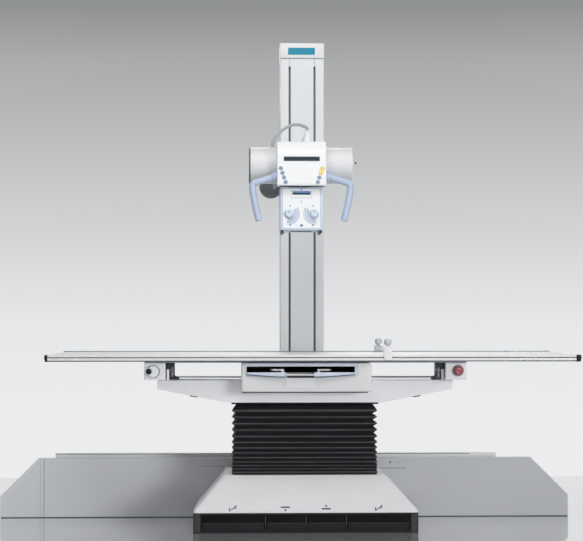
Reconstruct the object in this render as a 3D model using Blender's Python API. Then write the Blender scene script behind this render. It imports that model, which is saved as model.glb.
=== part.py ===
"""Floor-standing radiography system: bucky table on a bellows lift, tube column and x-ray head.

Units are metres, +Z is up, +X runs along the table to the right and +Y points away from the
person who stands in front of it. The origin is on the floor under the middle of the pedestal.
"""
import bpy
import bmesh
from math import cos, pi, radians, sin, sqrt
from mathutils import Matrix, Vector

# Fits shared by every piece
SEAT = 0.0003
SLIDE_FIT = 0.0005
ROUND_STEPS = 24

# Pedestal
PEDESTAL_WIDTH = 1.010
PEDESTAL_FRONT = 0.360
KICK_HEIGHT = 0.092
KICK_WALL = 0.012
KICK_SILL = 0.012
KICK_LINTEL = 0.012
BASE_THICKNESS = 0.010
PEDAL_POST = 0.036
PEDAL_DIVIDER = 0.003
INNER_PEDAL_WIDTH = 0.180
PEDAL_DEPTH = 0.034
COVER_LIP = 0.010
COVER_RISE = 0.141
COVER_WALL = 0.004
COVER_OVERHANG = 0.001
COVER_TOP_WIDTH = 0.744
COVER_TOP_FRONT = 0.206
COVER_BACK_DRAFT = 0.016
COVER_ROUND = 0.014

# Lift inside the bellows
MAST_WIDTH = 0.300
MAST_DEPTH = 0.200
MAST_WALL = 0.008
OUTER_MAST_HEIGHT = 0.360
INNER_MAST_LENGTH = 0.362
BELLOWS_WIDTH = 0.672
BELLOWS_DEPTH = 0.406
BELLOWS_HEIGHT = 0.3345
BELLOWS_FOLDS = 13
BELLOWS_FOLD_DEPTH = 0.021
BELLOWS_CROWDING = 0.52
BELLOWS_WALL = 0.003
BELLOWS_PLATE = 0.009
BELLOWS_ROUND = 0.016

# Floor housing and travel rail behind the table
PANEL_FRONT = 0.220
PANEL_LEFT = -1.449
PANEL_RIGHT = 1.294
PANEL_HEIGHT = 0.2856
PANEL_DEPTH = 0.022
PANEL_WALL = 0.003
PANEL_CHAMFER = 0.182
PANEL_END_LENGTH = 0.208
BED_LEFT = -1.196
BED_RIGHT = 0.957
BED_DEPTH = 0.537
BED_HEIGHT = 0.2634
BED_WALL = 0.006
RAIL_SET_BACK = 0.020
RAIL_DEPTH = 0.038
RAIL_HEIGHT = 0.040
RAIL_OVERRUN = 0.006
RAIL_GROOVE = 0.003
RAIL_GROOVE_DEPTH = 0.002
RAIL_NOSE = 0.010

# Tube column
COLUMN_X = 0.0143
COLUMN_WIDTH = 0.2200
COLUMN_DEPTH = 0.200
COLUMN_FRONT = 0.550
COLUMN_TOP = 2.276
COLUMN_WALL = 0.006
COLUMN_ROUND = 0.007
SLOT_SPACING = 0.126
SLOT_WIDTH = 0.0106
SLOT_DEPTH = 0.018
SLOT_END_GAP = 0.038
CAP_HEIGHT = 0.078
CAP_OVERHANG = 0.0017
CAP_WALL = 0.003
TROLLEY_WIDTH = 0.300
TROLLEY_HEIGHT = 0.056
TROLLEY_WALL = 0.008
TROLLEY_TAIL = 0.012

# Arm that carries the head
HEAD_X = -0.0115
HEAD_Z = 1.680
CARRIAGE_WIDTH = 0.190
CARRIAGE_HEIGHT = 0.180
CARRIAGE_DEPTH = 0.071
RUNNER_WIDTH = 0.0090
RUNNER_DEPTH = 0.015
BOOM_RADIUS = 0.045
BOOM_FRONT_FLANGE = 0.060
BOOM_REAR_FLANGE = 0.070
FLANGE_THICKNESS = 0.018
SHAFT_RADIUS = 0.020
SHAFT_LENGTH = 0.052
SHAFT_FIT = 0.0004
DRUM_X = -0.150
DRUM_Z = 1.5937
DRUM_RADIUS = 0.0550
DRUM_FRONT = 0.160
DRUM_THICKNESS = 0.040
DRUM_EAR_RADIUS = 0.024
DRUM_EAR_THICKNESS = 0.010

# X-ray tube housing
TUBE_RADIUS = 0.0853
TUBE_BODY_LENGTH = 0.475
TUBE_WALL = 0.009
TUBE_CAP_LENGTH = 0.0145
TUBE_CAP_ROUND = 0.006
TUBE_STUB_RADIUS = 0.008
TUBE_STUB_LENGTH = 0.011
TUBE_STUB_RISE = 0.0143
PORT_RADIUS = 0.058
PORT_GAP = 0.0040
GLAND_RADIUS = 0.0125
BRACKET_WIDTH = 0.180
BRACKET_HEIGHT = 0.120
BRACKET_REACH = 0.040
BRACKET_BACK = 0.1057
BOOT_X = 0.0245
BOOT_Y = 0.125
BOOT_BASE_Z = 1.795
BOOT_TIP_Z = 1.8612
BOOT_BASE_RADIUS = 0.029
BOOT_TIP_RADIUS = 0.0085
BOOT_FOOT = 0.050
CABLE_RADIUS = 0.0070
# Route of the cable from the gland on the tube up and over to the boot
CABLE_ROUTE = (
    (-0.1447, 0.015, 1.7712),
    (-0.1447, 0.015, 1.7860),
    (-0.1380, 0.021, 1.8060),
    (-0.1270, 0.028, 1.8240),
    (-0.1130, 0.037, 1.8390),
    (-0.0960, 0.047, 1.8550),
    (-0.0780, 0.058, 1.8685),
    (-0.0600, 0.069, 1.8785),
    (-0.0440, 0.079, 1.8840),
    (-0.0280, 0.089, 1.8862),
    (-0.0120, 0.099, 1.8855),
    (0.0030, 0.109, 1.8815),
    (0.0165, 0.119, 1.8785),
    (0.0245, 0.125, 1.8725),
    (0.0245, 0.125, 1.8616),
)

# Control panel and its keys
PANEL_WIDTH = 0.2290
PANEL_FACE = -0.145
PANEL_REAR = -0.065
PANEL_BOTTOM = 1.574
PANEL_FACE_TOP = 1.7356
PANEL_TOP = 1.7850
PANEL_SLOPE_DEPTH = 0.040
PANEL_SHELL = 0.006
PANEL_ROUND = 0.010
KEY_RADIUS = 0.0094
KEY_PROUD = 0.0035
KEY_DEPTH = 0.0030
KEY_TRAVEL = 0.0015
KEY_FIT = 0.0004
KEY_ROWS = 4
KEY_BOTTOM_Z = 1.5917
KEY_PITCH = 0.0213
KEY_BOTTOM_X = 0.0745
KEY_LEAN = 0.35
KEY_STEPS = 16

# Blue steering handles
HANDLE_RADIUS = 0.0160
HANDLE_COLLAR_RADIUS = 0.0235
HANDLE_COLLAR_LENGTH = 0.0165
HANDLE_Y = -0.107
HANDLE_Z = 1.6177
HANDLE_ELBOW_X = 0.2240
HANDLE_ELBOW_Z = 1.572
HANDLE_ELBOW_ROUND = 0.024
HANDLE_END_X = 0.1970
HANDLE_END_Z = 1.412
HANDLE_STEPS = 14

# Collimator
COLLIMATOR_WIDTH = 0.1992
COLLIMATOR_DEPTH = 0.230
COLLIMATOR_HEIGHT = 0.1995
COLLIMATOR_WALL = 0.009
COLLIMATOR_ROUND = 0.004
APERTURE = 0.120
KNOB_OFFSET = 0.059
KNOB_DROP = 0.1235
KNOB_RADIUS = 0.0195
KNOB_HEIGHT = 0.020
KNOB_SKIRT = 0.006
SPINDLE_RADIUS = 0.0035
SPINDLE_LENGTH = 0.005
LAMP_DROP = 0.1782
LAMP_RADIUS = 0.0060
LAMP_TRAVEL = 0.0015
ACCESSORY_RAIL_HEIGHT = 0.0125
ACCESSORY_RAIL_WIDTH = 0.014
ACCESSORY_RAIL_INSET = 0.004
ACCESSORY_LIP = 0.004
WINDOW_WIDTH = 0.085
WINDOW_HEIGHT = 0.017
WINDOW_DROP = 0.0180
WINDOW_DEPTH = 0.0015

# Table beam and what it carries
BEAM_WIDTH = 1.342
BEAM_DEPTH = 0.560
BEAM_HEIGHT = 0.104
BEAM_END_HEIGHT = 0.0425
BEAM_WAIST = 0.700
BEAM_WALL = 0.004
BEAM_FLOOR = 0.006
BEAM_FLOOR_OVERRUN = 0.012
BOX_WIDTH = 0.095
BOX_HEIGHT = 0.0775
BOX_DEPTH = 0.660
BOX_WALL = 0.003
BOX_SPACING = 1.360
BRACKET_GAP = 0.0005
CARRIER_WIDTH = 0.040
CARRIER_DEPTH = 0.080
CARRIER_FRONT = -0.300
CARRIER_THROAT = 0.020
STOP_COLLAR_RADIUS = 0.0245
STOP_COLLAR_HEIGHT = 0.0030
STOP_RADIUS = 0.0210
STOP_STEM_RADIUS = 0.008
STOP_STEM_LENGTH = 0.012
STOP_HEAD_HEIGHT = 0.014
STOP_TRAVEL = 0.004
STOP_X = 0.0090
STOP_Z = 0.0420
LOCK_RADIUS = 0.0275
LOCK_THICKNESS = 0.010
LOCK_BALL_RADIUS = 0.0135
LOCK_BALL_OFFSET = 0.0180
LOCK_X = -0.0075
LOCK_Z = 0.0388

# Cassette tray and its housing
HOUSING_WIDTH = 0.5836
HOUSING_X = 0.0011
HOUSING_FRONT = -0.380
HOUSING_BACK = 0.300
HOUSING_DROP = 0.053
HOUSING_HEIGHT = 0.0771
HOUSING_ROUND = 0.008
TRAY_SLOT_LEFT = -0.2673
TRAY_SLOT_RIGHT = 0.2181
TRAY_SLOT_FLOOR = 0.0192
TRAY_SLOT_HEIGHT = 0.0429
TRAY_SLOT_DEPTH = 0.560
TRAY_THICKNESS = 0.006
TRAY_LENGTH = 0.500
TRAY_FRONT_HEIGHT = 0.0165
TRAY_FRONT_BOW = 0.010
TRAY_FRONT_THICKNESS = 0.008
TRAY_HANDLE_WIDTH = 0.1255
TRAY_HANDLE_PROUD = 0.016
CASSETTE_CLAMP_LENGTH = 0.062
CASSETTE_CLAMP_HEIGHT = 0.024
CASSETTE_CLAMP_DEPTH = 0.026
CASSETTE_CLAMP_GAP = 0.150
CASSETTE_CLAMP_X = -0.0240
CASSETTE_CLAMP_SET_BACK = 0.018

# Floating tabletop
FLOAT_THICKNESS = 0.0067
FLOAT_BAR = 0.040
TABLE_WIDTH = 0.800
TABLE_LEFT = -1.1675
TABLE_RIGHT = 1.2365
PANEL_THICKNESS = 0.0270
EDGE_RAIL_DEPTH = 0.0380
EDGE_RAIL_HEIGHT = 0.0298
EDGE_GROOVE = 0.0034
EDGE_GROOVE_DEPTH = 0.006
EDGE_GROOVE_RISE = 0.0160
LEFT_CAP_LENGTH = 0.014
RIGHT_CAP_LENGTH = 0.023
CAP_SKIRT = 0.005
RAIL_CLAMP_WIDTH = 0.036
RAIL_CLAMP_HEIGHT = 0.038
RAIL_CLAMP_FLANGE = 0.0080
RAIL_CLAMP_HOOK = 0.023
FRONT_CLAMP_X = 0.3655
REAR_CLAMP_X = 0.3870
CLAMP_KNOB_RADIUS = 0.0180
CLAMP_KNOB_HEIGHT = 0.034


def material(name, colour, roughness, metallic=0.0):
    """Principled material with one colour, roughness and metallic value."""
    made = bpy.data.materials.new(name)
    made.use_nodes = True
    shader = made.node_tree.nodes["Principled BSDF"]
    shader.inputs["Base Color"].default_value = (*colour, 1.0)
    shader.inputs["Roughness"].default_value = roughness
    shader.inputs["Metallic"].default_value = metallic
    made.diffuse_color = (*colour, 1.0)
    return made


def body(name, pivot=(0.0, 0.0, 0.0), parent=None):
    """Empty on a joint's axis; the pieces that move with that joint hang from it."""
    empty = bpy.data.objects.new("body_" + name, None)
    bpy.context.collection.objects.link(empty)
    empty.parent = parent
    empty["pivot"] = pivot
    base = Vector(parent["pivot"]) if parent else Vector()
    empty.location = Vector(pivot) - base
    return empty


def add(name, mesh_data, look, carrier, smooth=True):
    """Turn a bmesh in world coordinates into a named object under its body's empty."""
    pivot = Vector(carrier["pivot"])
    bmesh.ops.translate(mesh_data, verts=mesh_data.verts, vec=-pivot)
    bmesh.ops.recalc_face_normals(mesh_data, faces=mesh_data.faces)
    mesh = bpy.data.meshes.new(name)
    mesh_data.to_mesh(mesh)
    mesh_data.free()
    if smooth:
        mesh.shade_smooth()
        mesh.set_sharp_from_angle(angle=radians(34))
    mesh.materials.append(look)
    made = bpy.data.objects.new(name, mesh)
    bpy.context.collection.objects.link(made)
    made.parent = carrier
    return made


def combine(target, shape, operation="DIFFERENCE"):
    """Cut a bmesh in world coordinates out of a piece, or join it on, with an exact Boolean."""
    count = len(target.modifiers)
    tool = add(f"{target.name}_tool_{count}", shape, target.data.materials[0], target.parent, False)
    tool.hide_render = True
    tool.display_type = "WIRE"
    step = target.modifiers.new(f"step_{count}", "BOOLEAN")
    step.operation = operation
    step.solver = "EXACT"
    step.object = tool


def box(x, y, z, bevel=0.0, along=None, steps=2):
    """Block between pairs of limits; edges, or only those along one axis, can be rounded."""
    shape = bmesh.new()
    size = Vector((x[1] - x[0], y[1] - y[0], z[1] - z[0]))
    middle = Vector((x[0] + x[1], y[0] + y[1], z[0] + z[1])) / 2
    bmesh.ops.create_cube(shape, size=1.0)
    bmesh.ops.scale(shape, vec=size, verts=shape.verts)
    bmesh.ops.translate(shape, vec=middle, verts=shape.verts)
    if bevel:
        edges = list(shape.edges)
        if along is not None:
            edges = [e for e in edges if abs((e.verts[0].co - e.verts[1].co)[along]) > 1e-6]
        bmesh.ops.bevel(shape, geom=edges, offset=bevel, segments=steps, profile=0.5, affect="EDGES")
    return shape


def to_space(axis, a, b, height):
    """Point from two outline coordinates and the coordinate along the extrusion axis."""
    if axis == 0:
        return Vector((height, a, b))
    if axis == 1:
        return Vector((a, height, b))
    return Vector((a, b, height))


def prism(outline, axis, low, high):
    """Outline extruded along X, Y or Z (axis 0, 1 or 2) between two heights."""
    shape = bmesh.new()
    corners = [shape.verts.new(to_space(axis, a, b, low)) for a, b in outline]
    face = shape.faces.new(corners)
    grown = bmesh.ops.extrude_face_region(shape, geom=[face])["geom"]
    moved = [g for g in grown if isinstance(g, bmesh.types.BMVert)]
    bmesh.ops.translate(shape, vec=to_space(axis, 0.0, 0.0, high - low), verts=moved)
    return shape


def rounded_outline(a, b, radius, steps=3):
    """Rectangle between pairs of limits with its four corners rounded, anticlockwise."""
    points = []
    for corner, (ca, cb) in enumerate(((1, 0), (1, 1), (0, 1), (0, 0))):
        middle_a = a[ca] + (radius if ca == 0 else -radius)
        middle_b = b[cb] + (radius if cb == 0 else -radius)
        for step in range(steps + 1):
            turn = pi / 2 * (corner - 1 + step / steps)
            points.append((middle_a + radius * cos(turn), middle_b + radius * sin(turn)))
    return points


def arc(middle, radius, start, end, steps):
    """Points on a circle's arc, angles in degrees."""
    turns = [radians(start + (end - start) * n / steps) for n in range(steps + 1)]
    return [(middle[0] + radius * cos(t), middle[1] + radius * sin(t)) for t in turns]


def loft(rings, closed=False):
    """Skin over rings of equal length; ends are capped, or joined when the rings run in a loop."""
    shape = bmesh.new()
    rows = [[shape.verts.new(p) for p in ring] for ring in rings]
    pairs = list(zip(rows, rows[1:]))
    if closed:
        pairs.append((rows[-1], rows[0]))
    for low, high in pairs:
        for n in range(len(low)):
            m = (n + 1) % len(low)
            shape.faces.new((low[n], low[m], high[m], high[n]))
    if not closed:
        shape.faces.new(rows[0])
        shape.faces.new(rows[-1])
    return shape


def turned(profile, centre, axis, steps=ROUND_STEPS):
    """Profile of (radius, height) pairs spun about an axis; a zero radius closes an end."""
    shape = bmesh.new()
    rows = []
    for radius, height in profile:
        if radius == 0.0:
            point = to_space(axis, *centre, height)
            rows.append([shape.verts.new(point)])
            continue
        ring = arc(centre, radius, 0.0, 360.0, steps)[:-1]
        rows.append([shape.verts.new(to_space(axis, a, b, height)) for a, b in ring])
    for low, high in zip(rows, rows[1:]):
        for n in range(steps):
            m = (n + 1) % steps
            if len(low) == 1:
                shape.faces.new((low[0], high[m], high[n]))
            elif len(high) == 1:
                shape.faces.new((low[n], low[m], high[0]))
            else:
                shape.faces.new((low[n], low[m], high[m], high[n]))
    return shape


def disc(radius, low, high, centre, axis, steps=ROUND_STEPS):
    """Plain round bar between two heights."""
    profile = ((0.0, low), (radius, low), (radius, high), (0.0, high))
    return turned(profile, centre, axis, steps)


def swept(path, radii, steps):
    """Round bar along a path that lies across Y, one ring for each path point."""
    rings = []
    for n, point in enumerate(path):
        before = path[max(n - 1, 0)]
        after = path[min(n + 1, len(path) - 1)]
        run = (Vector(after) - Vector(before)).normalized()
        side = Vector((0.0, 1.0, 0.0))
        side = (side - run * side.dot(run)).normalized()
        lift = run.cross(side)
        turns = [2 * pi * k / steps for k in range(steps)]
        rings.append([Vector(point) + radii[n] * (side * cos(t) + lift * sin(t)) for t in turns])
    return loft(rings)


# Heights and places that follow from the sizes above
COVER_BOTTOM = KICK_HEIGHT + SEAT
COVER_TOP = COVER_BOTTOM + COVER_LIP + COVER_RISE
BELLOWS_BOTTOM = COVER_TOP + SEAT
BELLOWS_TOP = BELLOWS_BOTTOM + BELLOWS_HEIGHT
BEAM_BOTTOM = BELLOWS_TOP + SEAT
BEAM_TOP = BEAM_BOTTOM + BEAM_HEIGHT
BOX_BOTTOM = BEAM_TOP + SEAT
BOX_TOP = BOX_BOTTOM + BOX_HEIGHT
FLOAT_BOTTOM = BOX_TOP + SEAT
FLOAT_TOP = FLOAT_BOTTOM + FLOAT_THICKNESS
TABLE_BOTTOM = FLOAT_TOP + SEAT
EDGE_TOP = TABLE_BOTTOM + EDGE_RAIL_HEIGHT
PEDESTAL_BACK = PANEL_FRONT - SEAT
BED_FRONT = PANEL_FRONT + PANEL_DEPTH + SEAT
BED_BACK = BED_FRONT + BED_DEPTH
RAIL_FRONT = BED_FRONT + RAIL_SET_BACK
RAIL_BACK = RAIL_FRONT + RAIL_DEPTH
RAIL_BOTTOM = BED_HEIGHT + SEAT
TROLLEY_TOP = RAIL_BOTTOM + TROLLEY_HEIGHT
POST_BOTTOM = TROLLEY_TOP + SEAT
POST_MIDDLE = COLUMN_FRONT + COLUMN_DEPTH / 2
BOOM_FRONT = BRACKET_BACK + SEAT
CARRIAGE_FRONT = COLUMN_FRONT - SEAT - CARRIAGE_DEPTH
BOOM_BACK = CARRIAGE_FRONT - SEAT
PORT_BOTTOM = PANEL_BOTTOM - PORT_GAP + SEAT
COLLIMATOR_TOP = PORT_BOTTOM - SEAT
COLLIMATOR_BOTTOM = COLLIMATOR_TOP - COLLIMATOR_HEIGHT
COLLIMATOR_FRONT = -COLLIMATOR_DEPTH / 2
HEAD_AXIS = (HEAD_X, HEAD_Z)
BOX_FRONT = -BOX_DEPTH / 2
TABLE_FRONT = -TABLE_WIDTH / 2

for old in list(bpy.data.objects):
    bpy.data.objects.remove(old, do_unlink=True)

WHITE = material("white_enamel", (0.83, 0.84, 0.84), 0.38)
SOFT_WHITE = material("pale_cover", (0.74, 0.75, 0.76), 0.45)
SILVER = material("silver_panel", (0.42, 0.43, 0.45), 0.42)
ALUMINIUM = material("anodised_rail", (0.62, 0.63, 0.65), 0.32, 0.9)
STEEL = material("zinc_steel", (0.45, 0.46, 0.48), 0.40, 0.8)
BLACK = material("black_rubber", (0.025, 0.025, 0.028), 0.60)
FOLDS = material("bellows_cloth", (0.022, 0.021, 0.024), 0.55)
BLUE = material("handle_blue", (0.42, 0.53, 0.78), 0.35)
PALE_BLUE = material("tray_blue", (0.55, 0.66, 0.80), 0.40)
KEY_GREY = material("key_grey", (0.40, 0.48, 0.60), 0.45)
YELLOW = material("key_yellow", (0.90, 0.70, 0.12), 0.40)
RED = material("stop_red", (0.60, 0.06, 0.07), 0.40)
GREY = material("drum_grey", (0.10, 0.10, 0.105), 0.50)
CLAMP_GREY = material("clamp_grey", (0.52, 0.56, 0.60), 0.42)
LAMINATE = material("table_laminate", (0.78, 0.79, 0.80), 0.35)

root = body("root")
lift = body("lift", (0.0, 0.0, BEAM_BOTTOM), root)


def pedestal():
    """Base with its kick strip, the four foot switches and the sloping cover."""
    half = PEDESTAL_WIDTH / 2
    inside = half - KICK_WALL
    base = add(
        "pedestal_base",
        box((-half, half), (-PEDESTAL_FRONT, PEDESTAL_BACK), (0.0, KICK_HEIGHT)),
        BLACK,
        root,
        False,
    )
    hollow_y = (-PEDESTAL_FRONT + KICK_WALL, PEDESTAL_BACK - KICK_WALL)
    combine(base, box((-inside, inside), hollow_y, (BASE_THICKNESS, KICK_HEIGHT + 0.01)))
    reach = half - PEDAL_POST
    inner = INNER_PEDAL_WIDTH + PEDAL_DIVIDER / 2
    windows = (
        (-reach, -inner - PEDAL_DIVIDER / 2),
        (-inner + PEDAL_DIVIDER / 2, -PEDAL_DIVIDER / 2),
        (PEDAL_DIVIDER / 2, inner - PEDAL_DIVIDER / 2),
        (inner + PEDAL_DIVIDER / 2, reach),
    )
    opening_z = (KICK_SILL, KICK_HEIGHT - KICK_LINTEL)
    opening_y = (-PEDESTAL_FRONT - 0.01, -PEDESTAL_FRONT + KICK_WALL + 0.01)
    for number, (left, right) in enumerate(windows, 1):
        combine(base, box((left, right), opening_y, opening_z))
        low = opening_z[0] + SLIDE_FIT
        high = opening_z[1] - SLIDE_FIT
        step = low + 0.5 * (high - low)
        front = -PEDESTAL_FRONT
        back = front + PEDAL_DEPTH
        outline = (
            (back, low),
            (back, high),
            (front + 0.004, high),
            (front + 0.003, step),
            (front, step - 0.003),
            (front, low),
        )
        middle = ((left + right) / 2, front, step)
        carrier = body(f"pedal_{number}", middle, root)
        plate = prism(outline, 0, left + SLIDE_FIT, right - SLIDE_FIT)
        add(f"pedal_{number}", plate, BLACK, carrier, False)

    lip = COVER_BOTTOM + COVER_LIP
    wide = half + COVER_OVERHANG
    narrow = COVER_TOP_WIDTH / 2
    hole_x = MAST_WIDTH / 2 + 0.02
    hole_y = MAST_DEPTH / 2 + 0.02
    outlines = (
        (wide, -PEDESTAL_FRONT - COVER_OVERHANG, COVER_BACK_DRAFT, COVER_BOTTOM),
        (wide, -PEDESTAL_FRONT - COVER_OVERHANG, COVER_BACK_DRAFT, lip),
        (narrow, -COVER_TOP_FRONT, COVER_BACK_DRAFT / 2, COVER_TOP),
    )
    shape = bmesh.new()
    rows = []
    for reach_x, front_y, draft, z in outlines:
        points = rounded_outline((-reach_x, reach_x), (front_y, PEDESTAL_BACK), COVER_ROUND)
        span = PEDESTAL_BACK - front_y
        drafted = [(x * (1 - draft / reach_x * (y - front_y) / span), y, z) for x, y in points]
        rows.append([shape.verts.new(p) for p in drafted])
    rim = rounded_outline((-hole_x, hole_x), (-hole_y, hole_y), COVER_ROUND)
    rows.append([shape.verts.new((x, y, COVER_TOP)) for x, y in rim])
    for low_row, high_row in zip(rows, rows[1:]):
        for n in range(len(low_row)):
            m = (n + 1) % len(low_row)
            shape.faces.new((low_row[n], low_row[m], high_row[m], high_row[n]))
    cover = add("pedestal_cover", shape, SOFT_WHITE, root)
    wall = cover.modifiers.new("wall", "SOLIDIFY")
    wall.thickness = COVER_WALL
    wall.offset = -1.0
    wall.use_even_offset = True


def telescope():
    """Two square masts, one inside the other, and the pleated bellows around them."""
    half_x = MAST_WIDTH / 2
    half_y = MAST_DEPTH / 2
    foot = BASE_THICKNESS + SEAT
    outer = box((-half_x, half_x), (-half_y, half_y), (foot, foot + OUTER_MAST_HEIGHT), 0.008, 2)
    outer = add("outer_mast", outer, STEEL, root)
    bore_x = half_x - MAST_WALL
    bore_y = half_y - MAST_WALL
    through = (foot - 0.01, foot + OUTER_MAST_HEIGHT + 0.01)
    combine(outer, box((-bore_x, bore_x), (-bore_y, bore_y), through))

    inner_x = bore_x - SLIDE_FIT
    inner_y = bore_y - SLIDE_FIT
    top = BEAM_BOTTOM - SEAT
    bottom = top - INNER_MAST_LENGTH
    inner = box((-inner_x, inner_x), (-inner_y, inner_y), (bottom, top), 0.006, 2)
    inner = add("inner_mast", inner, STEEL, lift)
    hollow_x = inner_x - MAST_WALL
    hollow_y = inner_y - MAST_WALL
    through = (bottom - 0.01, top + 0.01)
    combine(inner, box((-hollow_x, hollow_x), (-hollow_y, hollow_y), through))

    crest_x = BELLOWS_WIDTH / 2
    crest_y = BELLOWS_DEPTH / 2
    cloth_top = BELLOWS_TOP - BELLOWS_PLATE
    length = cloth_top - BELLOWS_BOTTOM

    def height(share):
        """Pleats crowd towards the bottom, because the cloth above them weighs on them."""
        return BELLOWS_BOTTOM + length * (share * (1 - BELLOWS_CROWDING) + share * share * BELLOWS_CROWDING)

    def ring(inset, z):
        """Rounded rectangle, pulled in from the crest by an inset."""
        x = crest_x - inset
        y = crest_y - inset
        return [(a, b, z) for a, b in rounded_outline((-x, x), (-y, y), BELLOWS_ROUND, 2)]

    folds = []
    for n in range(2 * BELLOWS_FOLDS + 1):
        inset = 0.0 if n % 2 else BELLOWS_FOLD_DEPTH
        folds.append((inset, height(n / (2 * BELLOWS_FOLDS))))
    outside = [ring(inset, z) for inset, z in folds]
    outside += [ring(0.0, cloth_top + 0.0005), ring(0.0, BELLOWS_TOP)]
    inner_wall = BELLOWS_FOLD_DEPTH + BELLOWS_WALL
    inside = [ring(inner_wall, BELLOWS_TOP), ring(inner_wall, BELLOWS_BOTTOM)]
    add("bellows", loft(outside + inside, closed=True), FOLDS, root, False)


def chamfered(left, right, wall, cut_left, cut_right):
    """Housing front seen from the front: a low rectangle whose upper corners can be cut off."""
    low = wall
    high = PANEL_HEIGHT - wall
    shrink = wall * (2 - sqrt(2))
    points = [(left + wall, low), (right - wall, low)]
    if cut_right:
        size = PANEL_CHAMFER - shrink
        points += [(right - wall, high - size), (right - wall - size, high)]
    else:
        points += [(right - wall, high)]
    if cut_left:
        size = PANEL_CHAMFER - shrink
        points += [(left + wall + size, high), (left + wall, high - size)]
    else:
        points += [(left + wall, high)]
    return points


def floor_housing():
    """Long low front panel in two lengths, the bed behind it and the travel rail on the bed."""
    seam = PANEL_LEFT + PANEL_END_LENGTH
    back = PANEL_FRONT + PANEL_DEPTH
    lengths = (
        ("panel_end", PANEL_LEFT, seam, True, False),
        ("floor_panel", seam + SEAT, PANEL_RIGHT, False, True),
    )
    for name, left, right, cut_left, cut_right in lengths:
        outline = chamfered(left, right, 0.0, cut_left, cut_right)
        piece = add(name, prism(outline, 1, PANEL_FRONT, back), SILVER, root, False)
        pocket = chamfered(left, right, PANEL_WALL, cut_left, cut_right)
        combine(piece, prism(pocket, 1, PANEL_FRONT + PANEL_WALL, back + 0.01))

    bed_y = (BED_FRONT, BED_BACK)
    bed = box((BED_LEFT, BED_RIGHT), bed_y, (0.0, BED_HEIGHT), 0.004, 0)
    bed = add("rail_bed", bed, SILVER, root, False)
    inside_x = (BED_LEFT + BED_WALL, BED_RIGHT - BED_WALL)
    inside_y = (BED_FRONT + BED_WALL, BED_BACK - BED_WALL)
    combine(bed, box(inside_x, inside_y, (-0.01, BED_HEIGHT - BED_WALL)))

    ends = (BED_LEFT - RAIL_OVERRUN, BED_RIGHT + RAIL_OVERRUN)
    top = RAIL_BOTTOM + RAIL_HEIGHT
    outline = [(ends[0], RAIL_BOTTOM), (ends[1], RAIL_BOTTOM)]
    outline += arc((ends[1] - RAIL_NOSE, top - RAIL_NOSE), RAIL_NOSE, 0, 90, 4)
    outline += arc((ends[0] + RAIL_NOSE, top - RAIL_NOSE), RAIL_NOSE, 90, 180, 4)
    rail = add("guide_rail", prism(outline, 1, RAIL_FRONT, RAIL_BACK), ALUMINIUM, root)
    groove_top = top - RAIL_NOSE
    groove = box(
        (ends[0] - 0.01, ends[1] + 0.01),
        (RAIL_FRONT - 0.01, RAIL_FRONT + RAIL_GROOVE_DEPTH),
        (groove_top - RAIL_GROOVE, groove_top),
    )
    combine(rail, groove)


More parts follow.
